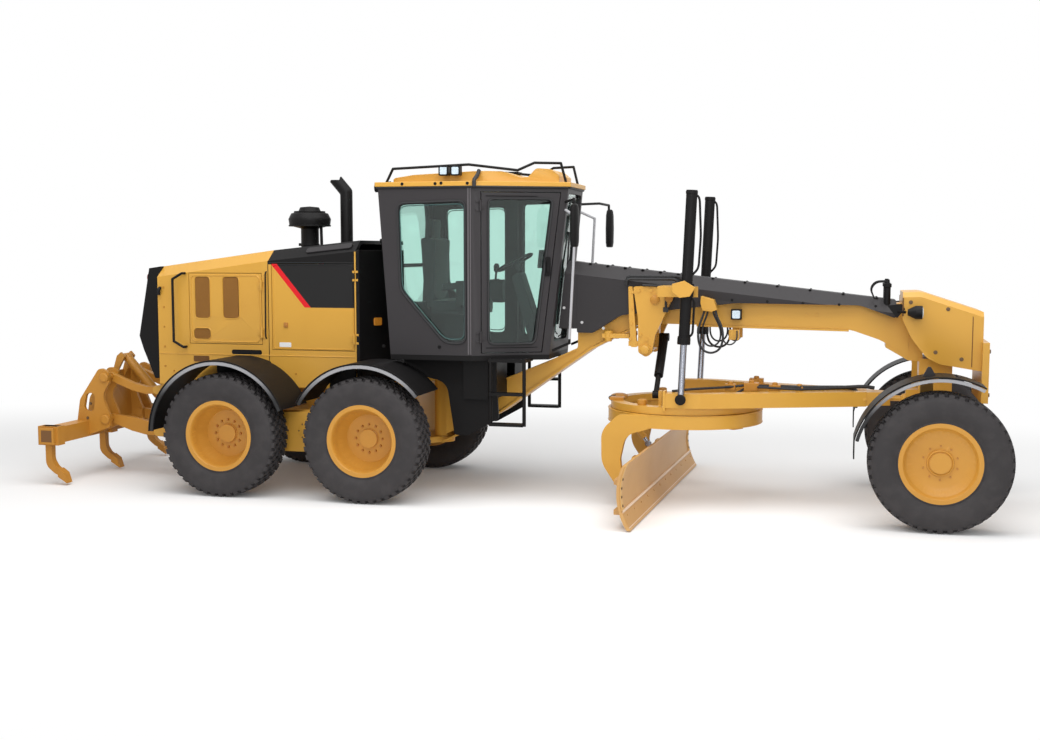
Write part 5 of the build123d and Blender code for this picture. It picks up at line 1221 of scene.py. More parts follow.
# %% Cab outside
CAB_BODY = body_of("cab_frame")
POST_X = -4.37
DOOR_LEAN = 0.44 / 0.87


def door_y(x):
    """How far out the slanted door's face lies at a station."""
    return 0.79 - DOOR_LEAN * (x - POST_X)


def windscreen_x(z):
    return -3.67 + 0.17 * (z - 1.44) / 1.65


def rounded(points, turn, steps=4):
    """A closed path with each corner taken round a curve."""
    points = [Vector(p) for p in points]
    result = []
    for i, corner in enumerate(points):
        before, after = points[i - 1], points[(i + 1) % len(points)]
        start = corner + (before - corner).normalized() * turn
        end = corner + (after - corner).normalized() * turn
        for step in range(steps + 1):
            t = step / steps
            result.append(start * (1 - t) ** 2 + corner * 2 * t * (1 - t) + end * t**2)
    return result


SIDE_PANE = ((-5.125, 2.93), (-4.43, 2.95), (-4.43, 1.56), (-4.64, 1.56), (-5.1, 2.08))
DOOR_PANE = ((-4.22, 1.55), (-4.22, 2.97), (-3.64, 2.97), (-3.8, 1.55))
DOOR_GRIP = ((-3.76, 0.415, 1.72), (-3.76, 0.365, 1.74), (-3.735, 0.365, 2.2), (-3.735, 0.405, 2.22))
gaskets, posts, strips = Form(), Form(), Form()
side_path = rounded([(x, -0.792, z) for x, z in SIDE_PANE], 0.075)
gaskets.tube(side_path, 0.013, 6, closed=True)
gaskets.tube([p + Vector((0, 0.034, 0)) for p in side_path], 0.018, 6, closed=True)
strips.tube(
    [p + (Vector((-4.75, p.y, 2.35)) - p) * 0.05 + Vector((0, 0.012, 0)) for p in side_path], 0.005, 6,
    closed=True
)
gaskets.tube(
    ((-5.33, -0.797, 3.084), (-4.366, -0.797, 3.084), (-3.494, -0.356, 3.084), (-3.494, 0, 3.084)),
    0.014, 8, 0.03
)
gaskets.tube(((-5.334, -0.79, 3.084), (-5.334, 0, 3.084)), 0.014, 8)
posts.slab((-4.408, -0.796, 1.45), (-4.392, -0.788, 3.07))
posts.slab((-4.384, -0.794, 1.45), (-4.372, -0.786, 3.07))
gaskets.tube(
    ((-4.33, -0.822, 3.08), (-4.33, -0.822, 3.145), (-4.33, -0.7, 3.196), (-4.33, -0.65, 3.244)), 0.02,
    8, 0.02
)
gaskets.tube(
    (
        (windscreen_x(1.6), -0.12, 1.6), (windscreen_x(1.62) + 0.03, -0.12, 1.62),
        (windscreen_x(2.35) + 0.02, 0.1, 2.35)
    ),
    0.007, 6, 0.02,
)
gaskets.tube(
    ((windscreen_x(2.05) + 0.012, 0.02, 2.05), (windscreen_x(2.65) + 0.012, 0.16, 2.65)), 0.009, 6
)
piece("cab_gaskets", gaskets.both(), hose_rubber, CAB_BODY)
piece("cab_post_lines", posts.both(), grey_light, CAB_BODY)
piece("cab_pane_rims", strips.both(), pane_rim, CAB_BODY)

for side_name, side in SIDES:
    body = body_of("cab_door_" + side_name)
    edge, trim, silver = Form(), Form(), Form()
    path = rounded([(x, side * (door_y(x) + 0.003), z) for x, z in DOOR_PANE], 0.065)
    edge.tube(path, 0.012, 6, closed=True)
    edge.tube([p - Vector((0.018, side * 0.036, 0)) for p in path], 0.016, 6, closed=True)
    along = Vector((0.892, side * -0.451, 0)) * -side
    latch_x = -3.69
    centre = Vector((latch_x, side * (door_y(latch_x) - 0.001), 2.31))
    trim.plate(centre, along, (0, 0, 1), (0.055, 0.19), 0.018, 0.015)
    trim.plate(
        centre + Vector((0.451, side * 0.892, 0)) * 0.018, along, (0, 0, 1), (0.028, 0.11), 0.022, 0.01
    )
    for z in (1.515, 2.995):
        trim.tube([(x, side * (door_y(x) + 0.002), z) for x in (-4.24, -3.78)], 0.004, 6)
    piece("door_gasket_" + side_name, edge, hose_rubber, body)
    piece("door_latch_cab_" + side_name, trim, black, body, 0.003)
    silver.tube([(x, side * y, z) for x, y, z in DOOR_GRIP], 0.01, 8, 0.03)
    piece("door_grip_" + side_name, silver, black, body)

mirrors = Form()
head = (
    (0, 0.04), (0.006, 0.062), (0.05, 0.074), (0.2, 0.078), (0.34, 0.072), (0.392, 0.058), (0.405, 0.036)
)
rings = []
for up, half in head:
    ring = []
    for turn in range(0, 360, 20):
        c, s = swing(turn)
        ring.append((-3.32 + half * 0.55 * c, -0.915 + half * 1.1 * s, 2.5 + up))
    rings.append(ring)
mirrors.rings(rings)
piece("mirror_heads", mirrors.both(), black, CAB_BODY)

LENS_CORNERS = ((-0.043, -0.043), (0.043, -0.043), (0.043, 0.043), (-0.043, 0.043))
lenses, roof_trim = Form(), Form()
for x in (-4.66, -4.54):
    lenses.plate((x, -0.7595, 3.24), (1, 0, 0), (0, 0, 1), (0.07, 0.07), 0.006, 0.01)
    bezel = rounded([(x + along, -0.764, 3.24 + up) for along, up in LENS_CORNERS], 0.012)
    roof_trim.tube(bezel, 0.006, 6, closed=True)
lenses.plate((-1.86, -0.2545, 1.85), (1, 0, 0), (0, 0, 1), (0.076, 0.076), 0.006, 0.012)
lenses.turned(
    (-0.152, -0.485, 1.9), (1, 0, 0), ((0, 0.053), (0.006, 0.05), (0.013, 0.03), (0.015, 0.01)), 28
)
lenses.both()
roof_trim.turned(
    (-5.345, -0.62, 3.09), (-1, 0, 0), ((0, 0.02), (0.03, 0.045), (0.07, 0.045), (0.074, 0.02)), 20
)
roof_trim.tube(((-5.34, -0.62, 3.09), (-5.3, -0.62, 3.13), (-5.25, -0.62, 3.14)), 0.016, 8, 0.02)
roof_trim.slab((-4.46, -0.09, 3.239), (-4.34, -0.02, 3.262))
roof_trim.slab((-4.22, -0.09, 3.239), (-4.08, -0.02, 3.262))
piece("lamp_lenses_front", lenses, lens_white, CAB_BODY, 0.002)
piece("roof_trim", roof_trim.both(), black, CAB_BODY, 0.003)
bolts(
    "roof_bolts",
    (
        ((-5.066, -0.8155, 3.114), (-5.066, -0.8155, 3.114), 1, (0, -1, 0), 0.011),
        ((-4.727, -0.8155, 3.114), (-4.666, -0.8155, 3.118), 2, (0, -1, 0), 0.011),
        ((-4.4, -0.8155, 3.114), (-4.4, -0.8155, 3.114), 1, (0, -1, 0), 0.011),
        ((-5.28, -0.7955, 1.52), (-4.7, -0.7955, 1.52), 2, (0, -1, 0), 0.012),
    ),
    black, CAB_BODY, both=True,
)

# %% [markdown]
# Behind the glass are a seat, a wheel on its column, two pods with levers, and a small screen. The
# seat's cushion and back are upholstered. Each is a closed form that is crowned in its middle and
# drawn in between its corners, with a piped seam round its edge.

# %% Cab inside


def pad(name, centre, half, lean):
    """A padded cushion, crowned on its broad faces and drawn in between its corners."""
    work = bmesh.new()
    bmesh.ops.create_cube(work, size=2.0)
    bmesh.ops.subdivide_edges(work, edges=work.edges, cuts=11, use_grid_fill=True)
    lean_turn = Matrix.Rotation(math.radians(lean), 3, "Y")
    for vert in work.verts:
        u, v, w = vert.co
        crown_share = (1 - u**2) * (1 - v**2)
        side_in = 1 - 0.035 * (1 - u**2) * abs(v) ** 6
        end_in = 1 - 0.035 * (1 - v**2) * abs(u) ** 6
        soft = (abs(u) ** 6 + abs(v) ** 6 + abs(w) ** 4) ** (1 / 6)
        groove = 1 - 0.1 * math.exp(-((abs(v) - 0.62) / 0.05) ** 2) * (1 - abs(u) ** 8)
        thick = (0.8 + 0.2 * crown_share) * groove
        point = Vector((u * half[0] * end_in, v * half[1] * side_in, w * half[2] * thick))
        point = point * (1 / max(1.0, soft) ** 0.45)
        vert.co = lean_turn @ point + Vector(centre)
    data = bpy.data.meshes.new("pad")
    work.to_mesh(data)
    work.free()
    thing = piece(name, Form().absorb(data), upholstery, CAB_BODY)
    return thing


pad("seat_cushion", (-4.7, 0, 1.89), (0.268, 0.272, 0.085), 0)
pad("seat_back", (-4.985, 0, 2.235), (0.37, 0.262, 0.075), -87)
pad("head_rest", (-5.02, 0, 2.68), (0.11, 0.15, 0.05), -87)

inside, inside_grey = Form(), Form()
wheel_centre, wheel_way = Vector((-4.135, 0, 2.345)), Vector((-0.45, 0, 0.89)).normalized()
wheel_side = Vector((0, 1, 0))
wheel_up = wheel_way.cross(wheel_side)


def on_wheel(radius, turn, along=0.0):
    c, s = swing(turn)
    return wheel_centre + (wheel_side * c + wheel_up * s) * radius + wheel_way * along


inside.tube([on_wheel(0.19, 10 * i) for i in range(36)], 0.015, 8, closed=True)
for turn in (90, 210, 330):
    inside.tube((on_wheel(0.03, turn, -0.02), on_wheel(0.18, turn)), 0.011, 6)
inside.turned(
    wheel_centre - wheel_way * 0.1, wheel_way, ((0, 0.03), (0.07, 0.036), (0.09, 0.045), (0.1, 0.03)), 20
)
for side in (-1, 1):
    inside.tube(((-4.44, side * 0.345, 2.155), (-4.43, side * 0.345, 2.25)), 0.012, 8)
    inside.turned(
        (-4.431, side * 0.345, 2.235), (0.05, 0, 1),
        ((0, 0.014), (0.02, 0.028), (0.07, 0.03), (0.095, 0.018)), 14
    )
    inside_grey.prism(((-4.8, 2.06), (-4.42, 2.1), (-4.4, 2.17), (-4.8, 2.13)), side * 0.3, side * 0.39)
    inside.slab((-5.19, side * 0.52 - 0.14, 1.46), (-4.96, side * 0.52 + 0.14, 1.95))
inside.plate((-3.8, -0.2, 2.38), (0, -1, 0), (0.1, 0, 1), (0.13, 0.18), 0.03, 0.012)
inside.tube(((-3.78, -0.2, 2.3), (-3.7, -0.24, 2.24)), 0.01, 6)
inside.slab((-5.16, -0.7, 2.3), (-5.12, 0.7, 2.335))
inside.slab((-5.02, -0.25, 2.58), (-4.99, -0.235, 2.7))
inside.slab((-5.02, 0.235, 2.58), (-4.99, 0.25, 2.7))
piece("cab_controls", inside, seat_plastic, CAB_BODY, 0.003)
piece("arm_rests", inside_grey, seat_plastic, CAB_BODY, 0.012)

# %% [markdown]
# The dark cover's edges are bolted down, and the nose below it carries bolts, a panel seam and a
# bracket. All these bolts come from the same tree, in rows that follow each edge. The last stretch
# of the cover, whose rear leans with the windscreen, is a short shell of its own.

# %% Cover, nose and front plate
FRAME_BODY = body_of("front_frame")


def cover_top(x):
    return 2.35 - 0.1144 * (x + 3.43)


bolts(
    "cover_bolts",
    (
        (
            (-3.32, -0.138, cover_top(-3.32) - 0.002), (-2.44, -0.138, cover_top(-2.44) - 0.002), 6,
            (0, -0.2, 1), 0.012
        ),
        (
            (-2.1, -0.138, cover_top(-2.1) - 0.002), (-0.55, -0.138, cover_top(-0.55) - 0.002), 6,
            (0, -0.2, 1), 0.01
        ),
        ((-1.9, -0.2705, 1.99), (-0.56, -0.2705, 1.945), 5, (0, -1, 0), 0.009),
    ),
    black, FRAME_BODY, both=True,
)
TAIL_SECTION = ((-0.27, 1.69), (-0.27, 2.232), (-0.13, 2.352), (0.13, 2.352), (0.27, 2.232), (0.27, 1.69))
tail_rings = []
for reach in (0, 1):
    ring = []
    for y, z in TAIL_SECTION:
        back = windscreen_x(z) + 0.03
        rise = 0.1144 * (-3.428 - back) * reach * (1 if z > 2 else 0)
        ring.append((back if reach else -3.428, y, z + rise))
    tail_rings.append(ring)
piece("cover_tail", Form().rings(tail_rings), cover_grey, FRAME_BODY, 0.006)
bolts(
    "cover_side_bolts",
    (
        ((-3.56, -0.2705, 1.897), (-3.56, -0.2705, 1.897), 1, (0, -1, 0), 0.01),
        ((-3.377, -0.2705, 1.753), (-3.16, -0.2705, 1.699), 2, (0, -1, 0), 0.01),
    ),
    steel, FRAME_BODY, both=True,
)
bolts(
    "nose_bolts",
    (
        ((-0.02, -0.4005, 1.53), (0.21, -0.4005, 1.47), 2, (0, -1, 0), 0.013),
        ((-0.25, -0.4005, 1.99), (0.08, -0.4005, 1.93), 2, (0, -1, 0), 0.013),
        ((0.4455, -0.44, 1.15), (0.4455, -0.44, 1.55), 2, (1, 0, 0), 0.018),
    ),
    dark_bolt, FRAME_BODY, both=True,
)
nose = Form()
nose.tube(((0.3, -0.4015, 1.4), (0.3, -0.4015, 1.86), (0.29, -0.36, 1.93)), 0.004, 6, 0.02)
nose.tube(((-0.318, -0.4015, 1.86), (-0.318, -0.4015, 2.03)), 0.007, 6)
piece("nose_seams", nose.both(), seam_and_shade_brown, FRAME_BODY)
nose_black = Form()
post = ((0, 0.03), (0.17, 0.03), (0.172, 0.038), (0.205, 0.038), (0.207, 0.022), (0.245, 0.018))
nose_black.turned((-0.455, -0.17, 1.95), (0, 0, 1), post, 18)
nose_black.tube(((-0.455, -0.17, 2.16), (-0.455, 0.0, 2.16)), 0.012, 8)
nose_black.tube(
    ((-0.455, -0.18, 2.175), (-0.56, -0.19, 2.17), (-0.61, -0.19, 2.1), (-0.57, -0.19, 2.01)), 0.008, 8,
    0.05
)
nose_black.prism(((-0.46, 1.96), (-0.33, 1.975), (-0.3, 1.925), (-0.37, 1.84)), -0.406, -0.401)
nose_black.tube(((-0.36, -0.4, 1.905), (-0.3, -0.47, 1.9)), 0.014, 8)
piece("nose_brackets", nose_black.both(), black, FRAME_BODY, 0.003)

# %% [markdown]
# The arched beam is a welded box, and its top and bottom plates stand a little proud of its sides.
# Those proud edges are the bright lines that run under the cab. Each is a thin strap bent along the
# beam's outline.

# %% Beam flanges
UNDER = (
    (-4.88, 0.49), (-4.56, 0.655), (-4.24, 0.836), (-3.9, 1.08), (-3.6, 1.292), (-3.31, 1.496),
    (-3.06, 1.622), (-2.84, 1.722)
)
OVER = ((-4.78, 1.116), (-4.45, 1.118), (-4.2, 1.152), (-3.9, 1.277), (-3.665, 1.375), (-3.46, 1.47))


def strap(form, points, thick, half):
    """A flat strap bent through points in side view, its thickness hanging below them."""
    low, high = [], []
    for i, (x, z) in enumerate(points):
        before, after = points[max(0, i - 1)], points[min(len(points) - 1, i + 1)]
        way = Vector((after[0] - before[0], 0, after[1] - before[1])).normalized()
        down = Vector((way.z, 0, -way.x)) * thick
        high.append(Vector((x, 0, z)))
        low.append(Vector((x, 0, z)) + down)
    rings = []
    out = Vector((0, half, 0))
    for top, bottom in zip(high, low):
        rings.append([top - out, top + out, bottom + out, bottom - out])
    return form.rings(rings)


flanges = Form()
strap(flanges, UNDER, 0.022, 0.185)
strap(flanges, [(x, z + 0.012) for x, z in OVER], 0.018, 0.182)
strap(flanges, ((-2.25, 1.742), (-1.5, 1.727), (-0.8, 1.714)), 0.018, 0.178)
strap(flanges, ((-2.7, 1.955), (-1.9, 1.968), (-0.8, 1.958)), 0.012, 0.166)
flanges.prism(((-0.46, 1.97), (-0.12, 1.97), (-0.12, 1.42), (-0.25, 1.43), (-0.46, 1.55)), -0.155, 0.155)
piece("beam_flanges", flanges, yellow, FRAME_BODY, 0.003)
bolts(
    "beam_pads", (((-1.2, -0.1605, 1.85), (-1.1, -0.1605, 1.85), 2, (0, -1, 0), 0.014),), yellow,
    FRAME_BODY, both=True
)

# %% [markdown]
# The saddle is a casting held by big bolts, with hard hydraulic lines clipped over it. A hard line is
# a steel tube with short bent corners, which is why it is made as a tube and not as a loose hose.

# %% Saddle, its bolts and hard lines
SADDLE_BODY = body_of("saddle")
bolts(
    "saddle_bolts",
    (
        ((-2.8, -0.3305, 2.075), (-2.56, -0.3305, 2.085), 3, (0, -1, 0), 0.018),
        ((-2.78, -0.3305, 1.64), (-2.72, -0.3305, 1.6), 2, (0, -1, 0), 0.016),
        ((-2.88, -0.3205, 1.6), (-2.86, -0.3205, 2.06), 4, (0, -1, 0), 0.013),
    ),
    yellow, SADDLE_BODY, both=True,
)
saddle_trim, saddle_lines, saddle_caps = Form(), Form(), Form()
saddle_trim.slab((-3.18, -0.25, 1.6), (-2.9, -0.18, 1.645))
saddle_trim.turned(
    (-3.12, -0.215, 1.565), (0, 0, 1), ((0, 0.035), (0.06, 0.045), (0.1, 0.045), (0.11, 0.03)), 16
)
saddle_trim.turned(
    (-2.73, -0.355, 1.5), (0, -1, 0), ((0, 0.045), (0.02, 0.045), (0.028, 0.03), (0.028, 0.01)), 20
)
saddle_trim.prism(
    ((-2.186, 2.03), (-2.064, 1.996), (-2.03, 1.9), (-2.08, 1.88), (-2.17, 1.89), (-2.19, 1.96)), -0.4,
    -0.2705
)
saddle_trim.slab((-1.93, -0.23, 1.6), (-1.83, -0.165, 1.7))
for x, z, radius in ((-2.64, 1.99, 0.045), (-2.5, 2.0, 0.038)):
    saddle_caps.turned(
        (x, -0.331, z), (0, -1, 0), ((0, radius), (0.025, radius), (0.035, radius * 0.6)), 18
    )
for y, z, ahead in ((-0.3, 2.192, -2.42), (-0.33, 2.19, -2.44), (-0.314, 2.216, -2.4)):
    saddle_lines.tube(
        ((-2.925, y, z - 0.06), (-2.915, y, z), (ahead, y, z), (ahead + 0.03, y, z - 0.05)), 0.015, 8,
        0.04
    )
saddle_lines.tube(
    ((-2.76, -0.345, 2.13), (-2.56, -0.345, 2.125), (-2.53, -0.345, 2.08), (-2.53, -0.345, 1.91)), 0.012,
    8, 0.04
)
saddle_lines.slab((-2.555, -0.365, 1.87), (-2.505, -0.3305, 1.915))
saddle_lines.turned((-2.205, -0.3, 1.975), (1, 0, -0.25), ((0, 0.016), (0.15, 0.016), (0.16, 0.01)), 12)
yoke_cap = (
    (-2.286, 2.188), (-2.184, 2.125), (-2.236, 2.041), (-2.332, 2.029), (-2.4, 2.083), (-2.401, 2.157)
)
saddle_trim.prism(yoke_cap, -0.886, -0.868)
piece("saddle_trim", saddle_trim.both(), yellow, SADDLE_BODY, 0.004)
piece("saddle_caps", saddle_caps.both(), yellow_deep, SADDLE_BODY, 0.002)
piece("saddle_lines", saddle_lines.both(), hose_rubber, SADDLE_BODY)

# %% [markdown]
# A lift cylinder has a gland nut where its rod leaves it, a cap at its upper end, and a thin feed pipe
# down its front face.

# %% Cylinders


def cylinder_trim(name, start, end, radius, body, pipe_side, finish=black, pipe=True):
    """Collars at a barrel's two ends and a feed pipe along it, on the side that pipe_side points to."""
    start, end = Vector(start), Vector(end)
    way = (end - start).normalized()
    length = (end - start).length
    form = Form()
    form.turned(
        start, way,
        ((0, radius * 0.8), (0.004, radius + 0.004), (0.03, radius + 0.004), (0.032, radius)), 28
    )
    gland = ((-0.06, radius), (-0.058, radius + 0.01), (-0.004, radius + 0.01), (0, radius * 0.75))
    form.turned(end, way, gland, 28)
    if pipe:
        out = Vector(pipe_side).normalized()
        path = (
            start + way * 0.1 + out * (radius - 0.01),
            start + way * 0.12 + out * (radius + 0.022),
            start + way * (length - 0.14) + out * (radius + 0.022),
            start + way * (length - 0.12) + out * (radius - 0.01),
        )
        form.tube(path, 0.011, 8, 0.03)
        for share in (0.3, 0.6):
            form.turned(
                start + way * (length * share), way, ((0, radius + 0.006), (0.022, radius + 0.006)), 28
            )
    return piece(name, form, finish, body, 0.001)


def lift_axis(z):
    return -2.318 + 0.04246 * (z - 1.07)


for side_name, side in SIDES:
    barrel, rod = body_of("lift_barrel_" + side_name), body_of("lift_rod_" + side_name)
    y = side * 0.8
    cylinder_trim(
        "lift_barrel_trim_" + side_name, (lift_axis(3.02), y, 3.02), (lift_axis(1.592), y, 1.592), 0.052,
        barrel, (1, 0, 0), pipe=False
    )
    feed = Form()
    feed.tube(
        (
            (lift_axis(2.98) + 0.045, y, 2.98), (lift_axis(2.95) + 0.075, y, 2.95),
            (lift_axis(2.6) + 0.105, y, 2.6), (lift_axis(2.3) + 0.1, y, 2.3),
            (lift_axis(2.24) + 0.045, y, 2.24)
        ),
        0.011, 8, 0.05,
    )
    feed.tube(
        (
            (lift_axis(1.66) + 0.045, y, 1.66), (lift_axis(1.68) + 0.078, y, 1.69),
            (lift_axis(2.0) + 0.078, y, 2.0), (lift_axis(2.03) + 0.045, y, 2.03)
        ),
        0.011, 8, 0.03
    )
    piece("lift_feed_" + side_name, feed, black, barrel)
    eye = Form().turned(
        (-2.318, side * 0.8355, 1.07), (0, side, 0),
        ((0, 0.052), (0.01, 0.05), (0.014, 0.03), (0.014, 0.01)), 24
    )
    piece("lift_eye_cap_" + side_name, eye, black, rod, 0.001)

# %% [markdown]
# On the drawbar lie a swivel, a few valve blocks and the lines that feed the circle and the blade. The
# small blocks stay low, because the drawbar rises towards the beam when the blade is lifted.

# %% Drawbar, circle and blade
DRAWBAR_BODY = body_of("drawbar")
# Each block: where it stands, its length and width, and its height
DRAWBAR_BLOCKS = (
    (-1.9, -0.3, 0.1, 0.09, 0.06),
    (-1.7, -0.28, 0.14, 0.11, 0.075),
    (-1.48, -0.23, 0.11, 0.09, 0.055),
    (-1.69, 0.27, 0.14, 0.11, 0.065),
    (-1.25, -0.18, 0.07, 0.06, 0.04),
)
# Each line: its radius, how many sides it has, how wide its corners turn, and its path
DRAWBAR_LINES = (
    (0.012, 8, 0.08, (
        (-1.75, -0.3, 1.17), (-1.95, -0.36, 1.15), (-2.25, -0.56, 1.145), (-2.42, -0.64, 1.13)
    )),
    (0.012, 8, 0.1, (
        (-1.72, -0.25, 1.16), (-2.0, -0.42, 1.0), (-2.42, -0.56, 0.992), (-2.48, -0.58, 0.96)
    )),
    (0.012, 8, 0.06, (
        (-3.05, -0.06, 1.005), (-3.115, -0.09, 1.0), (-3.115, -0.18, 0.995), (-3.06, -0.22, 0.97)
    )),
    (0.018, 10, 0.08, (
        (-0.55, -0.06, 1.15), (-0.64, -0.075, 1.165), (-0.9, -0.13, 1.15), (-1.35, -0.215, 1.15)
    )),
)
blocks, drawbar_lines = Form(), Form()
for x, y, long, wide, height in DRAWBAR_BLOCKS:
    blocks.slab((x - long / 2, y - wide / 2, 1.118), (x + long / 2, y + wide / 2, 1.12 + height))
    blocks.turned((x, y, 1.118 + height), (0, 0, 1), ((0, 0.028), (0.022, 0.026), (0.026, 0.014)), 14)
blocks.turned(
    (-3.04, 0, 0.975), (0, 0, 1), ((0, 0.085), (0.034, 0.085), (0.042, 0.07), (0.05, 0.045)), 28
)
blocks.slab((-3.1, -0.24, 0.978), (-2.96, -0.11, 1.01))
for side in (-1, 1):
    blocks.turned(
        (-2.7 + 0.02 * side, side * 0.56, 0.978), (0, 0, 1), ((0, 0.045), (0.05, 0.045), (0.058, 0.03)),
        18
    )
piece("drawbar_blocks", blocks, yellow_deep, DRAWBAR_BODY, 0.005)
for i, y in enumerate((-0.035, 0.0, 0.035)):
    drawbar_lines.tube(
        (
            (-0.7, y, 1.1), (-0.76, y, 1.14 + 0.004 * i), (-1.25, y * 3 - 0.2, 1.14 + 0.004 * i),
            (-1.64, y * 2 - 0.28, 1.16)
        ),
        0.012, 8, 0.1
    )
for radius, sides, turn, path in DRAWBAR_LINES:
    drawbar_lines.tube(path, radius, sides, turn)
piece("drawbar_lines", drawbar_lines, hose_rubber, DRAWBAR_BODY)
socket_bolt = (-0.64, -0.172, 1.05)
bolts(
    "drawbar_bolts", ((socket_bolt, socket_bolt, 1, (0, -1, 0), 0.016),), yellow, DRAWBAR_BODY, both=True
)

CIRCLE_CENTRE = Vector((-2.375, 0, 0))
BLADE_TURN = Matrix.Rotation(math.radians(-2.5), 4, "Z")
AROUND = Matrix.Translation(CIRCLE_CENTRE) @ BLADE_TURN @ Matrix.Translation(-CIRCLE_CENTRE)
circle_trim = Form()
for z in (0.779, 0.901):
    lip = [(-2.375 + 0.766 * c, 0.766 * s, z) for c, s in map(swing, range(0, 360, 5))]
    circle_trim.tube(lip, 0.004, 6, closed=True)
piece("circle_lips", circle_trim, yellow, body_of("circle"))


BLADE_ARC = ((0.012, -2.548), (0.281, -2.64), (0.59, -2.59))


def blade_x(z):
    """Where the blade's hollow face lies at a height, before its turn, from three points on its arc."""
    heights = [height for height, _ in BLADE_ARC]
    total = 0.0
    for height, place in BLADE_ARC:
        share = place
        for other in heights:
            if other != height:
                share *= (z - other) / (height - other)
        total += share
    return total


def on_blade(x, y, z):
    return tuple(AROUND @ Vector((x, y, z)))


EDGE_BOLT_Z = 0.13
BLADE_BODY = body_of("moldboard")
edge_bolt_x = blade_x(EDGE_BOLT_Z) + 0.01
edge_row = [on_blade(edge_bolt_x, y, EDGE_BOLT_Z) for y in (-1.7, 1.7)]
bolts("blade_bolts", ((*edge_row, 12, (1, 0.05, 0.25), 0.009),), blade_paint, BLADE_BODY)
end_places = [on_blade(blade_x(z) + 0.009, y, z) for y in (-1.77, 1.77) for z in (0.22, 0.3, 0.38, 0.46)]
bolts(
    "blade_end_bolts", [(place, place, 1, (1, 0.05, 0.1), 0.011) for place in end_places], dark_bolt,
    BLADE_BODY
)
END_BIT_LOW, END_BIT_TOP = 0.17, 0.588
END_BIT_SECTION = ((-0.022, 1.735), (0.01, 1.735), (0.01, 1.812), (-0.022, 1.812))
blade_edges = Form()
for side in (-1, 1):
    rings = []
    for i in range(13):
        z = END_BIT_LOW + (END_BIT_TOP - END_BIT_LOW) * i / 12
        x = blade_x(z)
        rings.append([on_blade(x + ahead, side * y, z) for ahead, y in END_BIT_SECTION])
    blade_edges.rings(rings)
piece("blade_end_bits", blade_edges, blade_edge, BLADE_BODY, 0.002)
STRIP_ROWS = (0.163, 0.12, 0.07, 0.04)
strip_rings = []
for y in (-1.815, 1.815):
    front = [on_blade(blade_x(z) + 0.0108, y, z) for z in STRIP_ROWS]
    back = [on_blade(blade_x(z) + 0.004, y, z) for z in STRIP_ROWS[::-1]]
    strip_rings.append(front + back)
# The cutting edge's face is darker than the blade, which is painted shade below its top bead.
piece("cutting_edge_face", Form().rings(strip_rings), edge_shade_paint, BLADE_BODY)
# Two pale beads, along the top and the foot of the cutting edge, are painted highlights.
beads = Form()
for z, radius in ((0.176, 0.014), (0.034, 0.007)):
    beads.tube([on_blade(blade_x(z) + 0.004, y, z) for y in (-1.812, 1.812)], radius, 8)
piece("cutting_edge_highlight", beads, bead_highlight_paint, BLADE_BODY)

# %% [markdown]
# The ripper takes a beating, so its pins have thick heads, and each shank sits in a socket on the
# toolbar. Its yellow is a deeper copy, as painted shade. The toolbar is an open box, and the shade
# inside it is painted as a dark sheet at each end.

# %% Ripper
RIPPER_BODY = body_of("ripper_carriage")
pins, sockets, ends = Form(), Form(), Form()
for z in (0.63, 1.09):
    pins.turned(
        (-8.64, -0.449, z), (0, -1, 0), ((0, 0.052), (0.02, 0.052), (0.028, 0.04), (0.028, 0.012)), 24
    )
    pins.turned((-8.64, -0.222, z), (0, 1, 0), ((0, 0.048), (0.012, 0.048), (0.016, 0.03)), 20)
for y in (-1.01, 1.01):
    sockets.slab((-9.03, y - 0.055, 0.425), (-8.83, y + 0.055, 0.625))
sockets.slab((-9.03, -0.055, 0.425), (-8.83, 0.055, 0.625))
# A dark sheet at each toolbar end is painted shade inside the open box.
ends.slab((-8.992, -1.111, 0.463), (-8.868, -1.106, 0.587))
piece("ripper_pins", pins.both(), ripper_shade_yellow, RIPPER_BODY, 0.003)
piece("ripper_sockets", sockets, ripper_shade_yellow, RIPPER_BODY, 0.006)
piece("toolbar_ends", ends.both(), seam_and_shade_brown, RIPPER_BODY)
bolts(
    "ripper_bolts",
    (
        ((-9.0305, -1.01, 0.48), (-9.0305, -1.01, 0.57), 2, (-1, 0, 0), 0.014),
        ((-8.86, -0.4505, 0.64), (-8.82, -0.4505, 0.8), 2, (0, -1, 0), 0.012),
    ),
    dark_bolt, RIPPER_BODY, both=True,
)

# %% [markdown]
# The tail of the machine carries two red lamps and a latch in the grille, and the tandem cases have
# inspection covers held by rings of bolts.

# %% Tail lamps and tandem covers
tail = Form()
tail.turned((-8.055, -0.45, 2.179), (-1, 0, 0), ((0, 0.047), (0.01, 0.044), (0.016, 0.02)), 24)
piece("tail_lenses", tail.both(), lens_red, body_of("rear_grille"), 0.001)
tail_trim = Form()
tail_trim.plate((-8.14, 0.0, 1.52), (0, -1, 0), (0, 0, 1), (0.16, 0.06), 0.012, 0.012)
tail_trim.plate((-7.968, 0.0, 0.96), (0, -1, 0), (0, 0, 1), (0.42, 0.12), 0.006, 0.01)
piece("tail_trim", tail_trim, black, body_of("rear_grille"), 0.002)
case_rows, case_caps = [], Form()
for x in (-6.123, -5.85, -6.396):
    case_caps.turned(
        (x, -0.799, 0.64), (0, -1, 0), ((0, 0.085), (0.01, 0.085), (0.014, 0.07), (0.014, 0.01)), 28
    )
    for turn in range(0, 360, 60):
        c, s = swing(turn)
        spot = (x + 0.074 * c, -0.809, 0.64 + 0.074 * s)
        case_rows.append((spot, spot, 1, (0, -1, 0), 0.008))
piece("tandem_covers", case_caps.both(), yellow, body_of("rear_frame"), 0.002)
bolts("tandem_bolts", case_rows, dark_bolt, body_of("rear_frame"), both=True)

# %% [markdown]
# The light is a plain white studio: an even sky, one large soft box overhead, one in front, and a
# floor that keeps the shadow.

# %% Light and floor

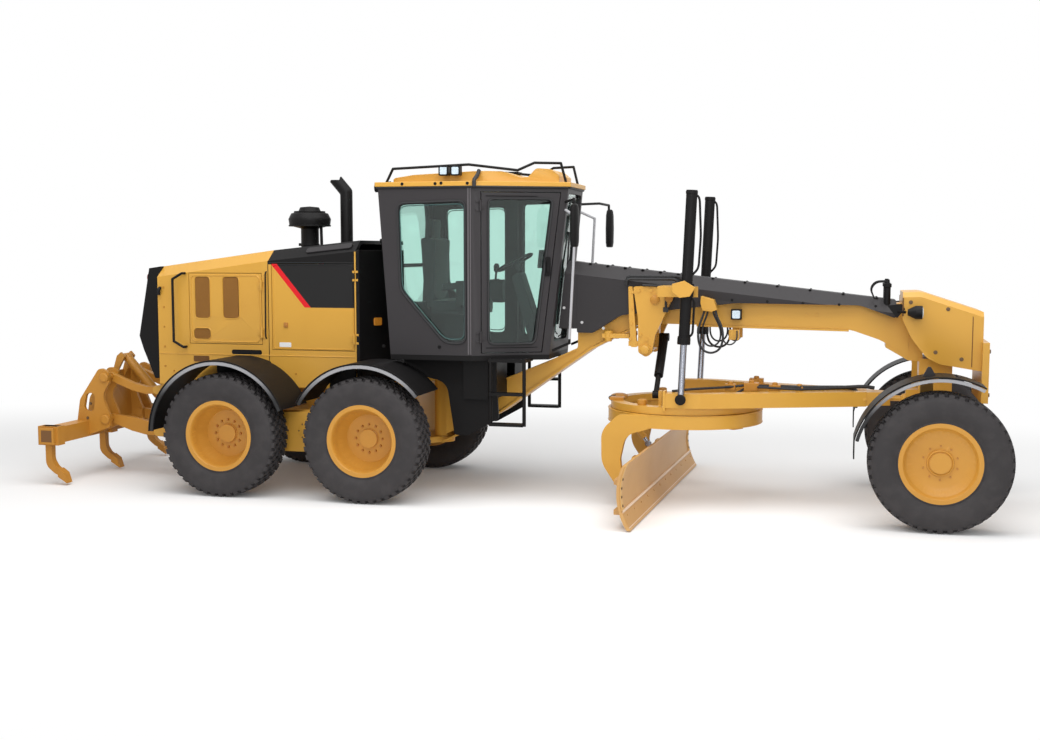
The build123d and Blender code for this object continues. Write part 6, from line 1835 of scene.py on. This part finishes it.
def soft_box(name, place, aim, size, power):
    data = bpy.data.lights.new(name, "AREA")
    data.shape, data.size, data.size_y, data.energy = "RECTANGLE", size[0], size[1], power
    thing = bpy.data.objects.new(name, data)
    thing.location = place
    thing.rotation_mode = "QUATERNION"
    thing.rotation_quaternion = (Vector(aim) - Vector(place)).to_track_quat("-Z", "Y")
    show(thing)


def ray_seen(tree):
    """1 where a camera, mirror or glass ray looks, and 0 for the light that falls on things."""
    path = tree.nodes.new("ShaderNodeLightPath")
    seen = path.outputs["Is Camera Ray"]
    for name in ("Is Glossy Ray", "Is Transmission Ray"):
        both = tree.nodes.new("ShaderNodeMath")
        both.operation = "MAXIMUM"
        tree.links.new(seen, both.inputs[0])
        tree.links.new(path.outputs[name], both.inputs[1])
        seen = both.outputs[0]
    return seen


def sky():
    world = bpy.data.worlds.new("studio")
    world.use_nodes = True
    tree = world.node_tree
    tree.nodes.clear()
    seen = ray_seen(tree)
    shown = tree.nodes.new("ShaderNodeBackground")
    lit = tree.nodes.new("ShaderNodeBackground")
    lit.inputs[1].default_value = SKY_LEVEL
    mix = tree.nodes.new("ShaderNodeMixShader")
    output = tree.nodes.new("ShaderNodeOutputWorld")
    for node in (shown, lit):
        node.inputs[0].default_value = (1, 1, 1, 1)
    tree.links.new(seen, mix.inputs[0])
    tree.links.new(lit.outputs[0], mix.inputs[1])
    tree.links.new(shown.outputs[0], mix.inputs[2])
    tree.links.new(mix.outputs[0], output.inputs[0])
    bpy.context.scene.world = world


SKY_LEVEL = 0.42
FLOOR_GLOW = 0.04


def floor():
    """A pale floor that keeps the shadow near the machine and melts into white away from it."""
    data = bpy.data.meshes.new("floor")
    half = 60.0
    corners = [(-half, -half, 0), (half, -half, 0), (half, half, 0), (-half, half, 0)]
    data.from_pydata(corners, [], [(0, 1, 2, 3)])
    made = Finish("floor", "tyre", Roughness=0.9, Specular_IOR_Level=0.1)
    made.feed("Base Color", made.mix(made.noise(0.4), (0.9, 0.9, 0.9), (0.93, 0.93, 0.93)))
    x, y, z = made.place()
    across = x * x * 0.3 + y * y
    far = across.math("SQRT").ramp(2.4, 7.5)
    white = made.tree.nodes.new("ShaderNodeEmission")
    white.inputs[0].default_value = (1, 1, 1, 1)
    mix = made.tree.nodes.new("ShaderNodeMixShader")
    share = Value(made, ray_seen(made.tree)) * (FLOOR_GLOW + (1 - FLOOR_GLOW) * far)
    made.put(mix.inputs[0], share)
    made.tree.links.new(made.shader.outputs[0], mix.inputs[1])
    made.tree.links.new(white.outputs[0], mix.inputs[2])
    output = next(node for node in made.tree.nodes if node.type == "OUTPUT_MATERIAL")
    made.tree.links.new(mix.outputs[0], output.inputs[0])
    data.materials.append(made.material)
    thing = bpy.data.objects.new("floor", data)
    show(thing)


sky()
floor()
soft_box("overhead", (1.0, -3.0, 9.0), (0.0, 0.5, 0.5), (14, 9), 1040)
soft_box("front", (4.0, -13.0, 6.0), (0.0, 0.0, 1.2), (8, 5), 460)
bpy.context.scene.view_settings.view_transform = "Standard"
